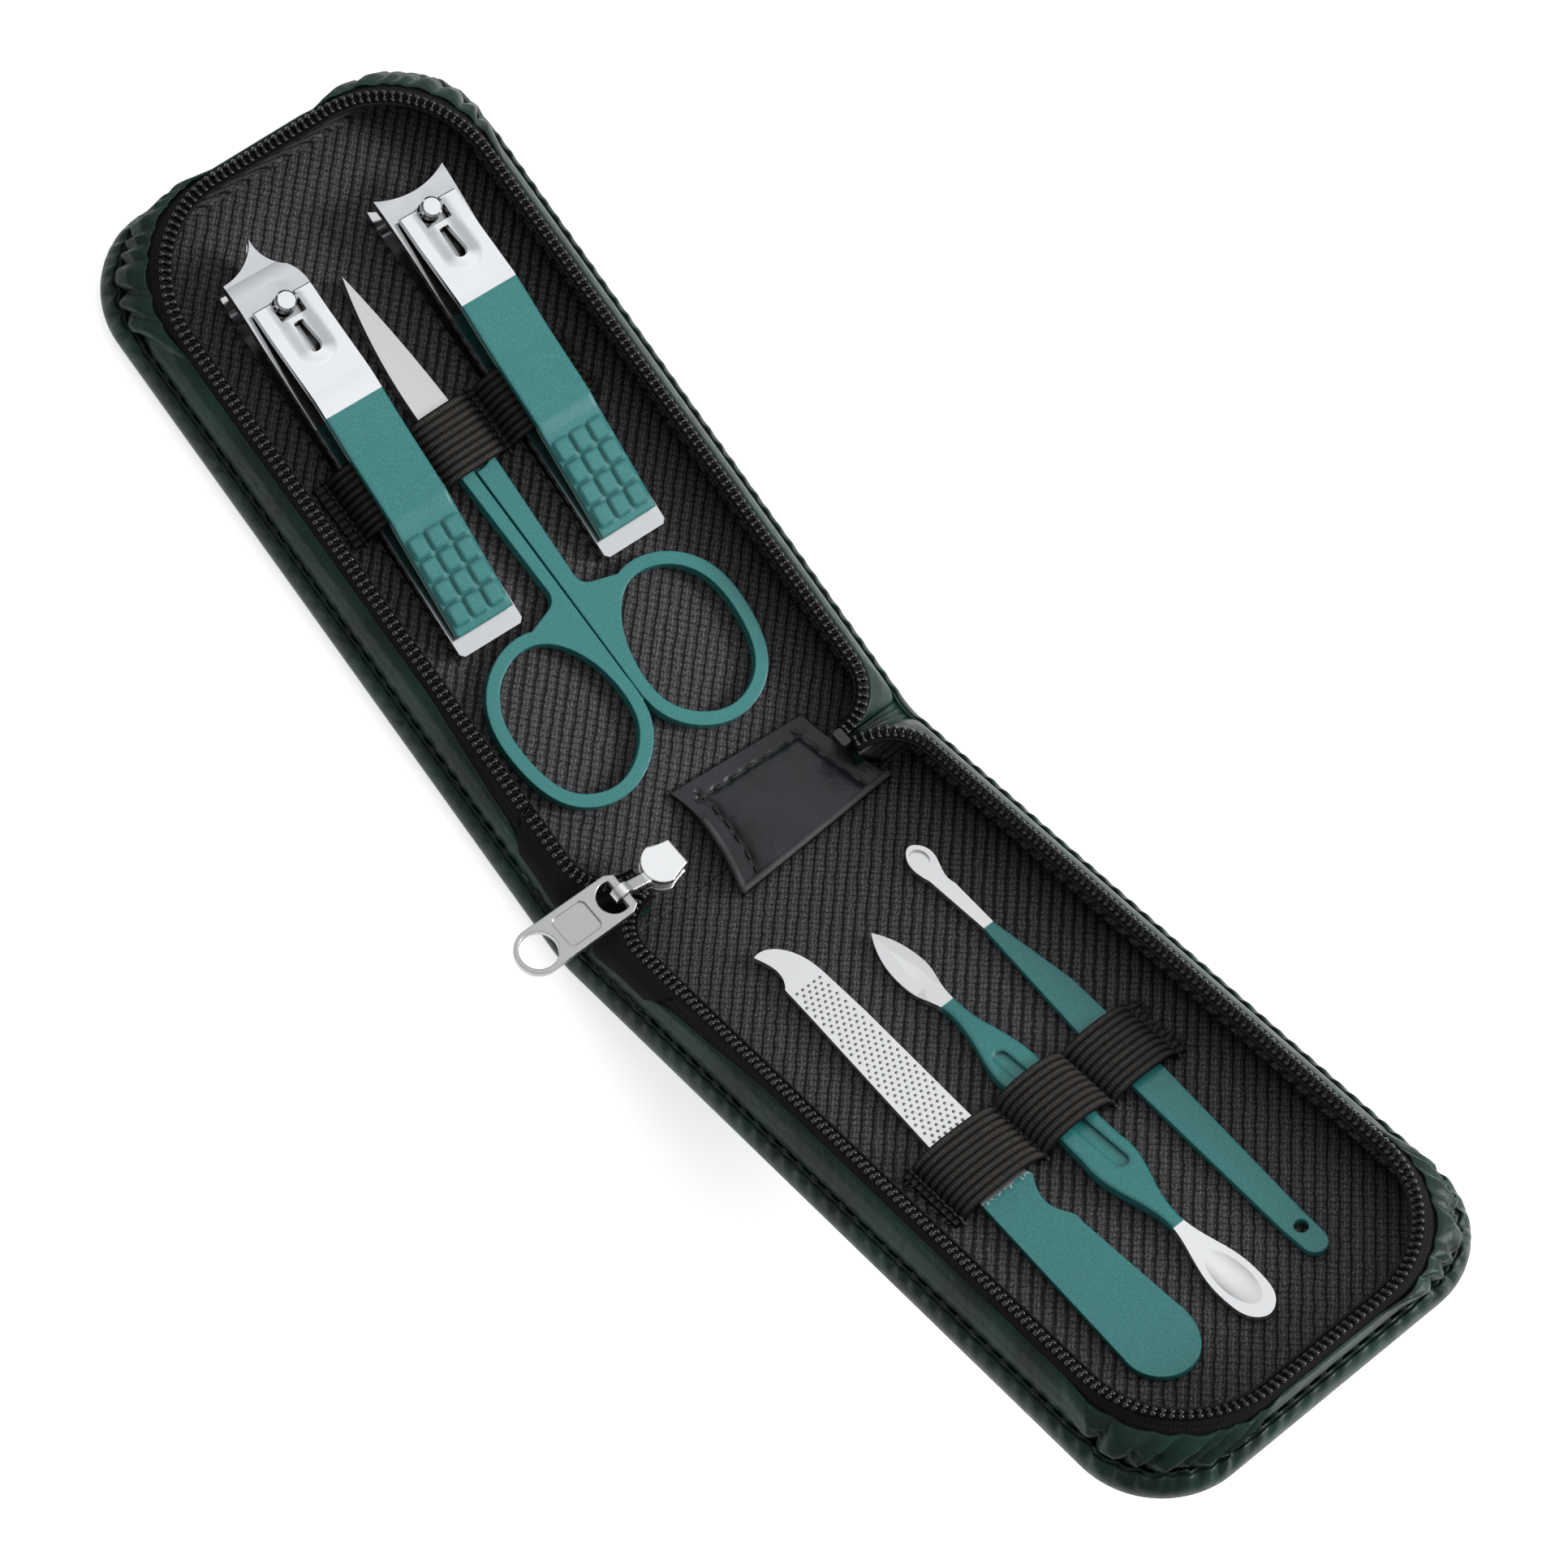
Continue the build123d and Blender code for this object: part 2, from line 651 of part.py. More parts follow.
def upper_jaw(bench, slanted):
    reach = jaw_length + 7.2
    lip = jaw_length - 4.2
    with BuildPart() as jaw:
        with BuildSketch(side_plane(bench, -8)):
            with BuildLine():
                Polyline(
                    (lip, jaw_top(lip) - jaw_t),
                    (0, jaw_top(0) - jaw_t),
                    (0, jaw_top(0)),
                    (lip, jaw_top(lip)),
                )
                Spline(
                    (lip, jaw_top(lip)),
                    (lip + 2.6, jaw_top(lip) + 0.1),
                    (reach, jaw_top(lip) - 1.7),
                )
                Line((reach, jaw_top(lip) - 1.7), (reach, jaw_top(lip) - 2.3))
                Spline(
                    (reach, jaw_top(lip) - 2.3),
                    (lip + 2.2, jaw_top(lip) - jaw_t - 0.15),
                    (lip, jaw_top(lip) - jaw_t),
                )
            make_face()
        extrude(amount=16)
        add(jaw_plan(bench, slanted), mode=Mode.INTERSECT)
        with BuildSketch(bench.offset(tool_z)):
            with Locations((0, post_s)):
                Circle(post_hole_r)
        extrude(amount=9, mode=Mode.SUBTRACT)
        with BuildSketch(bench.offset(tool_z)):
            with Locations((0, rivet_s)):
                Circle(1.0)
        extrude(amount=9, mode=Mode.SUBTRACT)
    return jaw.part


def clipper_rivet(bench):
    """Rivet that holds the two jaws together at the rear."""
    with BuildPart() as rivet:
        with BuildSketch(bench.offset(tool_z + 0.02)):
            with Locations((0, rivet_s)):
                Circle(0.95)
        extrude(amount=jaw_top(rivet_s) - tool_z - 0.1)
    return rivet.part


def clipper_post(bench):
    """Post through both jaws, with sockets that the lever's trunnions turn in."""
    with BuildPart() as post:
        with BuildSketch(bench.offset(tool_z + 0.02)):
            with Locations((0, post_s)):
                Circle(post_r + 0.65)
        extrude(amount=0.53)
        with BuildSketch(bench.offset(tool_z + 0.02)):
            with Locations((0, post_s)):
                Circle(post_r)
        extrude(amount=lever_pivot_z + 1.0 - tool_z)
        with BuildSketch(bench.offset(lever_pivot_z + 0.8)):
            with Locations((0, post_s)):
                Circle(post_head_r)
        extrude(amount=0.8)
        chamfer(post.faces().sort_by(Axis.Z)[-1].edges(), length=0.3)
        for side in (-1, 1):
            with BuildSketch(side_plane(bench, side * 0.75)):
                with Locations((post_s, lever_pivot_z)):
                    Circle(trunnion_r + trunnion_gap)
            extrude(amount=side * 2, mode=Mode.SUBTRACT)
    return post.part


def grip_pads(surface):
    """Rows of pillow-shaped pads that stand on the lever's grip."""
    root = 0.1
    with BuildPart() as pads:
        with BuildSketch(surface.offset(-root)):
            with GridLocations(2.95, 3.5, pad_columns, pad_rows):
                RectangleRounded(2.75, 3.25, 0.6)
        extrude(amount=pad_rise + root)
        tops = pads.faces().group_by(Axis(surface.origin, surface.z_dir))[-1]
        chamfer(tops.edges(), length=pad_rise - 0.1)
    return pads.part


def clipper_lever(bench):
    """Pressed lever: arched over the jaws, open fork round the post, padded grip behind."""
    grip_front_z = lever_pivot_z - 0.95
    lever_rear_z = jaw_top(lever_rear) + 0.27 + lever_t / 2
    grip_run = grip_front - lever_rear
    grip_drop = grip_front_z - lever_rear_z
    grip_length = hypot(grip_run, grip_drop)
    grip_middle = (0, (grip_front + lever_rear) / 2, (grip_front_z + lever_rear_z) / 2)
    grip_plane = Plane(
        origin=bench.from_local_coords(grip_middle),
        x_dir=bench.x_dir,
        z_dir=bench.z_dir * (grip_run / grip_length) - bench.y_dir * (grip_drop / grip_length),
    )
    with BuildPart() as lever:
        with BuildSketch(side_plane(bench, -lever_half)):
            with BuildLine():
                FilletPolyline(
                    (post_s + lever_nose - 0.55, lever_pivot_z),
                    (post_s - 3.5, lever_pivot_z + 0.1),
                    (post_s - 14.1, lever_pivot_z + 1.05),
                    (post_s - 22.1, lever_pivot_z + 0.15),
                    (grip_front + 1.8, lever_pivot_z - 0.4),
                    (grip_front, grip_front_z),
                    (lever_rear, lever_rear_z),
                    radius=[10, 12, 12, 1.2, 1.2],
                )
            trace(line_width=lever_t)
            with Locations((post_s + lever_nose - 0.6, lever_pivot_z)):
                Circle(lever_t / 2)
        extrude(amount=2 * lever_half)
        add(grip_pads(grip_plane.offset(lever_t / 2)))
        # Fork open to the front, and a teardrop slot behind its bar.
        with BuildSketch(bench.offset(lever_pivot_z - 3)):
            with Locations((0, post_s + 0.1)):
                Rectangle(2 * fork_half, 4.8)
            with BuildLine():
                Line((-0.75, post_s - 3.1), (0.75, post_s - 3.1))
                Line((0.75, post_s - 3.1), (1.15, post_s - 6.8))
                ThreePointArc((1.15, post_s - 6.8), (0, post_s - 8.1), (-1.15, post_s - 6.8))
                Line((-1.15, post_s - 6.8), (-0.75, post_s - 3.1))
            make_face()
        extrude(amount=6, mode=Mode.SUBTRACT)
        for side in (-1, 1):
            with BuildSketch(side_plane(bench, side * 0.85)):
                with Locations((post_s, lever_pivot_z)):
                    Circle(trunnion_r)
            extrude(amount=side * (fork_half - 0.8))
    return lever.part


for prefix, bench, slanted in (("straight", straight_bench, False), ("slant", slant_bench, True)):
    jaw_low = lower_jaw(bench, slanted)
    jaw_low.label = f"{prefix}_lower_jaw"
    export_step(jaw_low, f"parts/{prefix}_lower_jaw.step")
    jaw_up = upper_jaw(bench, slanted)
    jaw_up.label = f"{prefix}_upper_jaw"
    export_step(jaw_up, f"parts/{prefix}_upper_jaw.step")
    rivet = clipper_rivet(bench)
    rivet.label = f"{prefix}_rivet"
    export_step(rivet, f"parts/{prefix}_rivet.step")
    post = clipper_post(bench)
    post.label = f"{prefix}_post"
    export_step(post, f"parts/{prefix}_post.step")
    lever = clipper_lever(bench)
    lever.label = f"{prefix}_lever"
    export_step(lever, f"parts/{prefix}_lever.step")

# ---------------------------------------------------------------- scissors
scissors_x = -0.7
scissors_pivot = 64.0
scissors_thick = 2 * blade_t + blade_gap
pivot_disc_r = 3.9
slot_x = -0.75  # slot between the shanks at the joint, where it leans to the left
slot_half = 0.2
scissors_plane = Plane(origin=(scissors_x, 0, tool_z))


def scissors_half(side, blade_level):
    """One half: ring and shank on one side, blade on its own level."""
    with BuildPart() as half:
        with BuildSketch(scissors_plane):
            # Oval ring.
            with BuildLine():
                Spline(
                    (side * 0.35, 19.5),
                    (side * 4.2, 13.4),
                    (side * 10.6, 11.1),
                    (side * 17.4, 13.9),
                    (side * 20.8, 22.5),
                    (side * 19.6, 31.6),
                    (side * 14.6, 36.4),
                    (side * 8.2, 37.2),
                    (side * 3.0, 33.0),
                    (side * 0.35, 26.0),
                    periodic=True,
                )
            make_face()
            # Shank, from the ring's root to the joint.
            with BuildLine():
                FilletPolyline(
                    (side * 0.1, 20.5),
                    (slot_x + side * slot_half, scissors_pivot),
                    (side * 2.9, scissors_pivot),
                    (side * 2.9, 59.0),
                    (side * 2.2, 38.7),
                    (side * 9.4, 36.5),
                    (side * 3.0, 30.0),
                    radius=[0, 0, 0, 6, 2.2, 0, 0],
                    close=True,
                )
            make_face()
            with BuildLine():
                Spline(
                    (side * 2.15, 20.2),
                    (side * 5.4, 15.0),
                    (side * 10.7, 13.0),
                    (side * 16.2, 15.4),
                    (side * 18.9, 22.8),
                    (side * 17.8, 30.8),
                    (side * 14.0, 34.6),
                    (side * 8.6, 35.3),
                    (side * 4.4, 31.8),
                    (side * 2.15, 25.6),
                    periodic=True,
                )
            make_face(mode=Mode.SUBTRACT)
        extrude(amount=scissors_thick)
        # Room for the other half round the joint.
        other = blade_t + blade_gap if blade_level < blade_t else -1.0
        with BuildSketch(scissors_plane.offset(other)):
            with Locations((0, scissors_pivot)):
                Circle(pivot_disc_r + 0.5)
        extrude(amount=blade_t + 1.0, mode=Mode.SUBTRACT)
        # Joint disc and blade on this half's level.
        with BuildSketch(scissors_plane.offset(blade_level)):
            with Locations((0, scissors_pivot)):
                Circle(pivot_disc_r)
            with BuildLine():
                Line((-3.2, scissors_pivot), (-3.1, 71.0))
                ThreePointArc((-3.1, 71.0), (-2.2, 82.0), (0.1, 92.6))
                ThreePointArc((0.1, 92.6), (1.4, 82.0), (2.2, 71.0))
                Line((2.2, 71.0), (2.4, scissors_pivot))
                Line((2.4, scissors_pivot), (-3.2, scissors_pivot))
            make_face()
            with Locations((0, scissors_pivot)):
                Circle(1.1, mode=Mode.SUBTRACT)
        extrude(amount=blade_t)
        with BuildSketch(scissors_plane.offset(-1)):
            with Locations((0, scissors_pivot)):
                Circle(1.1)
        extrude(amount=5, mode=Mode.SUBTRACT)
    return half.part


scissors_right = scissors_half(1, 0.0)
scissors_right.label = "scissors_right_half"
export_step(scissors_right, "parts/scissors_right_half.step")
scissors_left = scissors_half(-1, blade_t + blade_gap)
scissors_left.label = "scissors_left_half"
export_step(scissors_left, "parts/scissors_left_half.step")

with BuildPart() as scissors_screw:
    with BuildSketch(scissors_plane.offset(0.02)):
        with Locations((0, scissors_pivot)):
            Circle(1.05)
    extrude(amount=scissors_thick + 0.1)
    with BuildSketch(scissors_plane.offset(scissors_thick + 0.05)):
        with Locations((0, scissors_pivot)):
            Circle(1.7)
            Rectangle(4, 0.4, mode=Mode.SUBTRACT)
    extrude(amount=0.15)
scissors_screw.part.label = "scissors_screw"
export_step(scissors_screw.part, "parts/scissors_screw.step")

# ---------------------------------------------------------------- tools of half B
bench_b = tray_b.offset(tool_z)

with BuildPart() as nail_file:
    with BuildSketch(bench_b):
        with BuildLine():
            # Hooked tip.
            Spline((12.6, 15.7), (10.6, 15.8), (8.6, 17.7), (7.4, 20.8), (7.1, 24.0))
            Polyline(
                (7.1, 24.0), (7.1, 32.4), (7.8, 54.8), (8.2, 65.4), (7.8, 66.4)
            )
            Spline((7.8, 66.4), (8.8, 68.1), (9.5, 70.7), (9.1, 72.6), (8.2, 74.2), (8.0, 76.1))
            Line((8.0, 76.1), (7.4, 93.0))
            Spline(
                (7.4, 93.0), (7.7, 97.0), (9.6, 100.0), (12.4, 101.1), (15.6, 100.2),
                (17.5, 98.0), (18.0, 95.0),
            )
            Polyline((18.0, 95.0), (16.0, 65.1), (15.2, 54.9), (13.2, 27.4), (12.9, 22.6))
            Spline((12.9, 22.6), (12.0, 21.2), (11.7, 19.6), (11.9, 18.0), (12.6, 15.7))
        make_face()
    extrude(amount=file_t)
nail_file.part.label = "nail_file"
export_step(nail_file.part, "parts/nail_file.step")

with BuildPart() as cuticle_pusher:
    with BuildSketch(bench_b):
        with BuildLine():
            Spline(
                (-2.0, 23.2), (-3.4, 25.8), (-4.3, 29.8), (-4.2, 33.0), (-3.2, 36.4), (-2.8, 40.0),
                (-2.9, 43.5), (-3.8, 47.5), (-4.4, 51.0), (-4.4, 56.0),
            )
            Line((-4.4, 56.0), (-4.3, 70.0))
            Spline(
                (-4.3, 70.0), (-3.9, 75.0), (-2.5, 79.0), (-1.6, 84.5), (-2.4, 88.8), (-3.4, 92.5),
                (-3.6, 97.7), (-2.5, 101.1), (-0.2, 102.2), (1.7, 100.9), (2.5, 98.0), (2.3, 93.4),
                (1.3, 89.5), (0.2, 84.5), (1.2, 78.5), (2.1, 74.6), (2.1, 70.0),
            )
            Line((2.1, 70.0), (1.5, 56.0))
            Spline(
                (1.5, 56.0), (1.5, 51.0), (0.4, 47.2), (-0.5, 43.2), (-0.7, 39.4), (0.2, 36.0),
                (0.6, 32.6), (0.3, 29.0), (-1.4, 24.2), (-2.0, 23.2),
            )
        make_face()
    extrude(amount=pusher_t)
    # Forged profile: thick in the middle, thinning smoothly to both working ends.
    pusher_side = Plane(
        origin=bench_b.from_local_coords((-8, 0, 0)), x_dir=bench_b.y_dir, z_dir=bench_b.x_dir
    )
    with BuildSketch(pusher_side):
        with BuildLine():
            Polyline((22, spear_t), (22, 0), (104, 0), (104, spoon_t), (96, spoon_t))
            Spline((96, spoon_t), (89, 1.15), (78, pusher_t), tangents=((-1, 0), (-1, 0)))
            Line((78, pusher_t), (46, pusher_t))
            Spline((46, pusher_t), (40, 1.4), (31, spear_t), tangents=((-1, 0), (-1, 0)))
            Line((31, spear_t), (22, spear_t))
        make_face()
    extrude(amount=16, mode=Mode.INTERSECT)
    # Ridge along the spear: both flanks fall away from it.
    for place, flank_z in ((22, 0.25), (35, 0.65), (41, 1.6)):
        across = Plane(
            origin=bench_b.from_local_coords((0, place, 0)),
            x_dir=bench_b.x_dir,
            z_dir=-bench_b.y_dir,
        )
        with BuildSketch(across):
            with BuildLine():
                Polyline(
                    (-7, flank_z),
                    (-4.6, flank_z),
                    (-1.9, flank_z + 0.45),
                    (0.8, flank_z),
                    (3, flank_z),
                    (3, 3),
                    (-7, 3),
                    close=True,
                )
            make_face()
    loft(ruled=True, mode=Mode.SUBTRACT)
    # Dished spoon, cut by a long barrel that touches the tip and the neck.
    dish_r = 6.25
    dish_depth = 0.4
    dish_plane = Plane(
        origin=bench_b.from_local_coords((-0.6, 95.6, spoon_t - dish_depth + dish_r)),
        x_dir=bench_b.y_dir,
        z_dir=bench_b.x_dir,
    )
    with BuildSketch(dish_plane):
        with BuildLine():
            Polyline((-7, 1 - dish_r), (-7, 0), (7, 0), (7, 1 - dish_r))
            ThreePointArc((7, 1 - dish_r), (0, -dish_r), (-7, 1 - dish_r))
        make_face()
    revolve(axis=Axis(dish_plane.origin, bench_b.y_dir), mode=Mode.SUBTRACT)
    # Thumb groove.
    with BuildSketch(bench_b.offset(pusher_t - 0.45)):
        with Locations((-1.35, 61.8)):
            SlotOverall(24.5, 2.2, rotation=92)
    extrude(amount=1, mode=Mode.SUBTRACT)
cuticle_pusher.part.label = "cuticle_pusher"
export_step(cuticle_pusher.part, "parts/cuticle_pusher.step")

with BuildPart() as ear_pick:
    with BuildSketch(bench_b):
        with BuildLine():
            Spline(
                (-13.5, 22.2), (-13.1, 19.6), (-13.7, 17.2), (-15.3, 15.9), (-16.8, 17.2),
                (-17.0, 19.4), (-16.0, 22.2), (-15.9, 24.7),
            )
            Polyline(
                (-15.9, 24.7), (-15.4, 33.2), (-16.9, 47.2), (-16.3, 65.2), (-14.2, 93.7),
                (-14.0, 98.2),
            )
            ThreePointArc((-14.0, 98.2), (-12.2, 100.1), (-10.3, 98.0))
            Polyline(
                (-10.3, 98.0), (-10.2, 94.6), (-11.1, 65.5), (-11.5, 55.0), (-13.7, 33.1),
                (-13.5, 22.2),
            )
        make_face()
        with Locations((-12.4, 95.6)):
            Circle(1.0, mode=Mode.SUBTRACT)
    extrude(amount=pick_t)
    # Shallow scoop in the tip.
    with BuildSketch(bench_b.offset(pick_t - 0.4)):
        with Locations((-15.1, 18.4)):
            Ellipse(1.2, 1.7)
    extrude(amount=1, mode=Mode.SUBTRACT)
ear_pick.part.label = "ear_pick"
export_step(ear_pick.part, "parts/ear_pick.step")
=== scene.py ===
import json
from math import cos, hypot, pi, radians, sin

import bmesh
import bpy
import numpy as np
from mathutils import Matrix, Vector


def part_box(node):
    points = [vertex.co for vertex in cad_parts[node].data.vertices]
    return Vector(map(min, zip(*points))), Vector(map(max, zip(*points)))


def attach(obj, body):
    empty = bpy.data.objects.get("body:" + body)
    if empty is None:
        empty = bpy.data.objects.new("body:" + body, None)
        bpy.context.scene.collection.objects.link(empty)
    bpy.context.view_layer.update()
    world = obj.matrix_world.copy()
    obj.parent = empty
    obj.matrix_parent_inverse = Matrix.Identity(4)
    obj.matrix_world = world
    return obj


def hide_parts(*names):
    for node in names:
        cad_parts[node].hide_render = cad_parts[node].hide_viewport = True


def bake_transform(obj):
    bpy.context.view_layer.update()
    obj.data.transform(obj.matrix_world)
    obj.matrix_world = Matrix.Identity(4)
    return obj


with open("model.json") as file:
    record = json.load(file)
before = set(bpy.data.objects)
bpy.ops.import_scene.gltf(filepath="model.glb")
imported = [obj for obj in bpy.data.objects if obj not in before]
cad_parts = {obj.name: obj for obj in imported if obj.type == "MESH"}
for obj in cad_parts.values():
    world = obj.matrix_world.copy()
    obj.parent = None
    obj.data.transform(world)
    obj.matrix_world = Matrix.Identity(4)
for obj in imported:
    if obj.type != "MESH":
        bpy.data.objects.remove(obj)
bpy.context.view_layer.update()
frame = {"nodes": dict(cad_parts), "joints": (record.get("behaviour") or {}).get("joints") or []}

# %% [markdown]
# # A manicure set in a zip-up leather case
# The case lies open: half A is flat on the table, half B stands up at a small angle. Both are
# trays of leather over board, lined with cloth, and both turn about one fold line. The steel
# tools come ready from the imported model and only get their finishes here. Everything soft, the
# leather, the linings, the zip, the stitches and the elastic, is made again as finer meshes that
# follow the model's sizes. Lengths are in millimetres and turn into metres where a mesh is made.

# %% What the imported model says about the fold
MM = 0.001
case_fold = next(j for j in frame["joints"] if j["name"] == "case_fold")
fold_height = case_fold["pos_m"][2] / MM
open_tilt = radians(case_fold["range_deg"][1])
tilt_s = sin(open_tilt)
tilt_c = cos(open_tilt)


def on_a(u, v, h):
    """Place on half A: along the fold, away from it, and above the table."""
    return (u, v, h)


def on_b(u, v, h):
    """The same place on half B, which is half A mirrored and turned about the fold line."""
    low = h - fold_height
    return (u, -(v * tilt_c - low * tilt_s), v * tilt_s + low * tilt_c + fold_height)


HALVES = {"a": on_a, "b": on_b}
HALF_BODY = {"a": "case_a", "b": "tray_b"}
print("fold line at height", round(fold_height, 2), "mm, half B tilted", round(open_tilt * 180 / pi, 1))

# %% [markdown]
# ## Camera
# A product shot is taken from far off with a long lens, so that parallel edges stay nearly
# parallel. The camera could be aimed with a Track To constraint. Here three directions are
# written as the columns of its matrix, because that also fixes its roll to a fraction of a degree.

# %% Camera
def placed(name, data):
    """Object for any kind of data, linked into the scene."""
    item = bpy.data.objects.new(name, data)
    bpy.context.scene.collection.objects.link(item)
    return item


camera_data = bpy.data.cameras.new("camera")
camera_data.sensor_width = 36.0
camera_data.lens = 103.12
camera = placed("camera", camera_data)
looks = Vector((0.3641, 0.0115, -0.9313)).normalized()
side = looks.cross(Vector((0.5397, 0.8123, 0.2211))).normalized()
up = side.cross(looks)
turn = Matrix((side, up, -looks)).transposed().to_4x4()
camera_place = Vector((-0.21861, -0.00737, 0.58627))
camera.matrix_world = Matrix.Translation(camera_place) @ turn
bpy.context.scene.camera = camera
# the plain sRGB view keeps white paper white and every colour as it is mixed below
bpy.context.scene.view_settings.view_transform = "Standard"
print("camera", round(camera_place.length, 3), "m away, lens", round(camera_data.lens, 2), "mm")

# %% [markdown]
# ## Helpers for materials
# A material is a graph of nodes joined by links. Written out in full, each node and each link
# takes a line of its own and the idea drowns. One helper fills the inputs of a node: a number or
# a colour is set on the input's own socket, and a socket or another node becomes a link. Colours
# are written as sRGB hex values, as a paint chart gives them, and turned into linear light.

# %% Node helper and colours
def fill(tree, item, inputs):
    """Set or link the inputs of a node; a node given as a value is linked by its first output."""
    for key, value in inputs.items():
        if isinstance(value, bpy.types.Node):
            value = value.outputs[0]
        if isinstance(value, bpy.types.NodeSocket):
            tree.links.new(value, item.inputs[key])
        else:
            item.inputs[key].default_value = value


def add(tree, kind, inputs=None, **settings):
    """Add a node, set its properties, and fill its inputs."""
    item = tree.nodes.new(kind)
    for key, value in settings.items():
        setattr(item, key, value)
    fill(tree, item, inputs or {})
    return item


def colour(hex_text):
    """sRGB hex to the linear colour that Blender's sockets take."""
    values = [int(hex_text[i : i + 2], 16) / 255 for i in (1, 3, 5)]
    linear = [v / 12.92 if v <= 0.04045 else ((v + 0.055) / 1.055) ** 2.4 for v in values]
    return (*linear, 1.0)


def new_material(name, inputs=None):
    """A node material with one Principled shader whose inputs are filled."""
    material = bpy.data.materials.new(name)
    material.use_nodes = True
    tree = material.node_tree
    tree.nodes.clear()
    output = tree.nodes.new("ShaderNodeOutputMaterial")
    shader = tree.nodes.new("ShaderNodeBsdfPrincipled")
    tree.links.new(shader.outputs[0], output.inputs[0])
    fill(tree, shader, inputs or {})
    return material, tree, shader


def paint(node_name, material):
    """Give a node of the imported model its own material."""
    owner = frame["nodes"][node_name].data
    owner.materials.clear()
    owner.materials.append(material)


print("#808080 in linear light is", round(colour("#808080")[0], 3))

# %% [markdown]
# ## Floor
# The set lies on a sheet of white studio paper. Paper scatters light evenly, so it is rough and
# shows no reflection. A little light of its own lifts it to pure white, as a lit table does in a
# studio, and the soft shadow where the case touches it still shows.

# %% Studio floor
floor_material, _, _ = new_material("studio_floor_paper", {
    "Base Color": colour("#FCFCFC"), "Roughness": 0.9,
    "Emission Color": colour("#FFFFFF"), "Emission Strength": 0.62,
})
bpy.ops.mesh.primitive_plane_add(size=6.0, location=(0, 0, -0.0002))
studio_floor = bpy.context.object
studio_floor.name = "studio_floor"
studio_floor.data.materials.append(floor_material)
print("floor", [round(d, 1) for d in studio_floor.dimensions], "m")

# %% [markdown]
# ## Room and light
# Plated metal has no colour of its own: it shows whatever surrounds it. So the room matters more
# than the lamp. The world is dark low down and bright above, which gives every tool a dark rim
# and a light face. Three soft glows stand for a ceiling panel, a window and a white card that is
# held behind half B. One large lamp adds the highlights and the short soft shadow.

# %% World: a white room
world = bpy.data.worlds.new("white_room")
bpy.context.scene.world = world
world.use_nodes = True
sky_tree = world.node_tree
direction = add(sky_tree, "ShaderNodeTexCoord").outputs["Generated"]
height_part = add(sky_tree, "ShaderNodeSeparateXYZ", {0: direction}).outputs["Z"]
brightness = add(
    sky_tree, "ShaderNodeMapRange",
    {"Value": height_part, "From Min": 0.0, "From Max": 0.9, "To Min": 0.03, "To Max": 0.6},
    interpolation_type="SMOOTHSTEP",
)
# direction of the middle, cosine where it starts, strength: ceiling panel, window, card behind
GLOWS = (
    ((0.30, 0.0, 0.954), 0.86, 0.33),
    ((0.75, -0.40, 0.53), 0.35, 0.22),
    ((0.364, 0.820, 0.443), 0.70, 0.62),
)
for middle, start, strength in GLOWS:
    toward = add(sky_tree, "ShaderNodeVectorMath", {0: direction, 1: middle}, operation="DOT_PRODUCT")
    glow = add(
        sky_tree, "ShaderNodeMapRange",
        {"Value": toward.outputs["Value"], "From Min": start, "From Max": 0.97, "To Max": strength},
        interpolation_type="SMOOTHSTEP",
    )
    brightness = add(sky_tree, "ShaderNodeMath", {0: brightness, 1: glow}, operation="ADD")
fill(sky_tree, sky_tree.nodes["Background"], {"Color": colour("#F8FAFC"), "Strength": brightness})
print("glows in the room:", len(GLOWS))

# %% [markdown]
# The lamp is an area light. A point lamp would draw a hard dot on every rivet. A square of 30 cm
# draws a broad soft patch instead, as a softbox does.

# %% Soft lamp
lamp_data = bpy.data.lights.new("panel_right", "AREA")
lamp_data.size = 0.30
lamp_data.energy = 8.5
lamp = placed("panel_right", lamp_data)
lamp.location = (0.66, -0.42, 0.60)
lamp_way = Vector((0, 0, 0.02)) - lamp.location
lamp.rotation_euler = lamp_way.to_track_quat("-Z", "Y").to_euler()
print("lamp", round(lamp_way.length, 2), "m from the case")

# %% [markdown]
# ## Mesh helpers
# Most pieces of the case are a cross-section carried along a path: leather folded over an edge,
# a tape, a strap. Blender can do this with a curve and a bevel object, but then the section can't
# change on the way. So one function makes a skin through rings of points. It also writes a UV map
# in millimetres, along the path and across it, and the threads of the cloth follow that map.

# %% Skin through sections
def finish_mesh(name, points, faces, uvs, material):
    """Smooth mesh at the origin from points in millimetres, with a UV pair for each corner."""
    mesh = bpy.data.meshes.new(name)
    mesh.from_pydata([tuple(c * MM for c in p) for p in points], [], faces)
    layer = mesh.uv_layers.new(name="mm")
    layer.data.foreach_set("uv", np.array([c for face in uvs for uv in face for c in uv], np.float32))
    mesh.polygons.foreach_set("use_smooth", [True] * len(mesh.polygons))
    mesh.materials.append(material)
    mesh.update()
    return placed(name, mesh)


def outward(piece):
    """Turn the faces of a closed mesh outwards."""
    work = bmesh.new()
    work.from_mesh(piece.data)
    bmesh.ops.remove_doubles(work, verts=work.verts, dist=1e-7)
    bmesh.ops.recalc_face_normals(work, faces=work.faces)
    work.to_mesh(piece.data)
    work.free()
    return piece


def steps(points):
    """Running length along a list of points."""
    total = [0.0]
    for p, q in zip(points, points[1:]):
        total.append(total[-1] + (Vector(q) - Vector(p)).length)
    return total


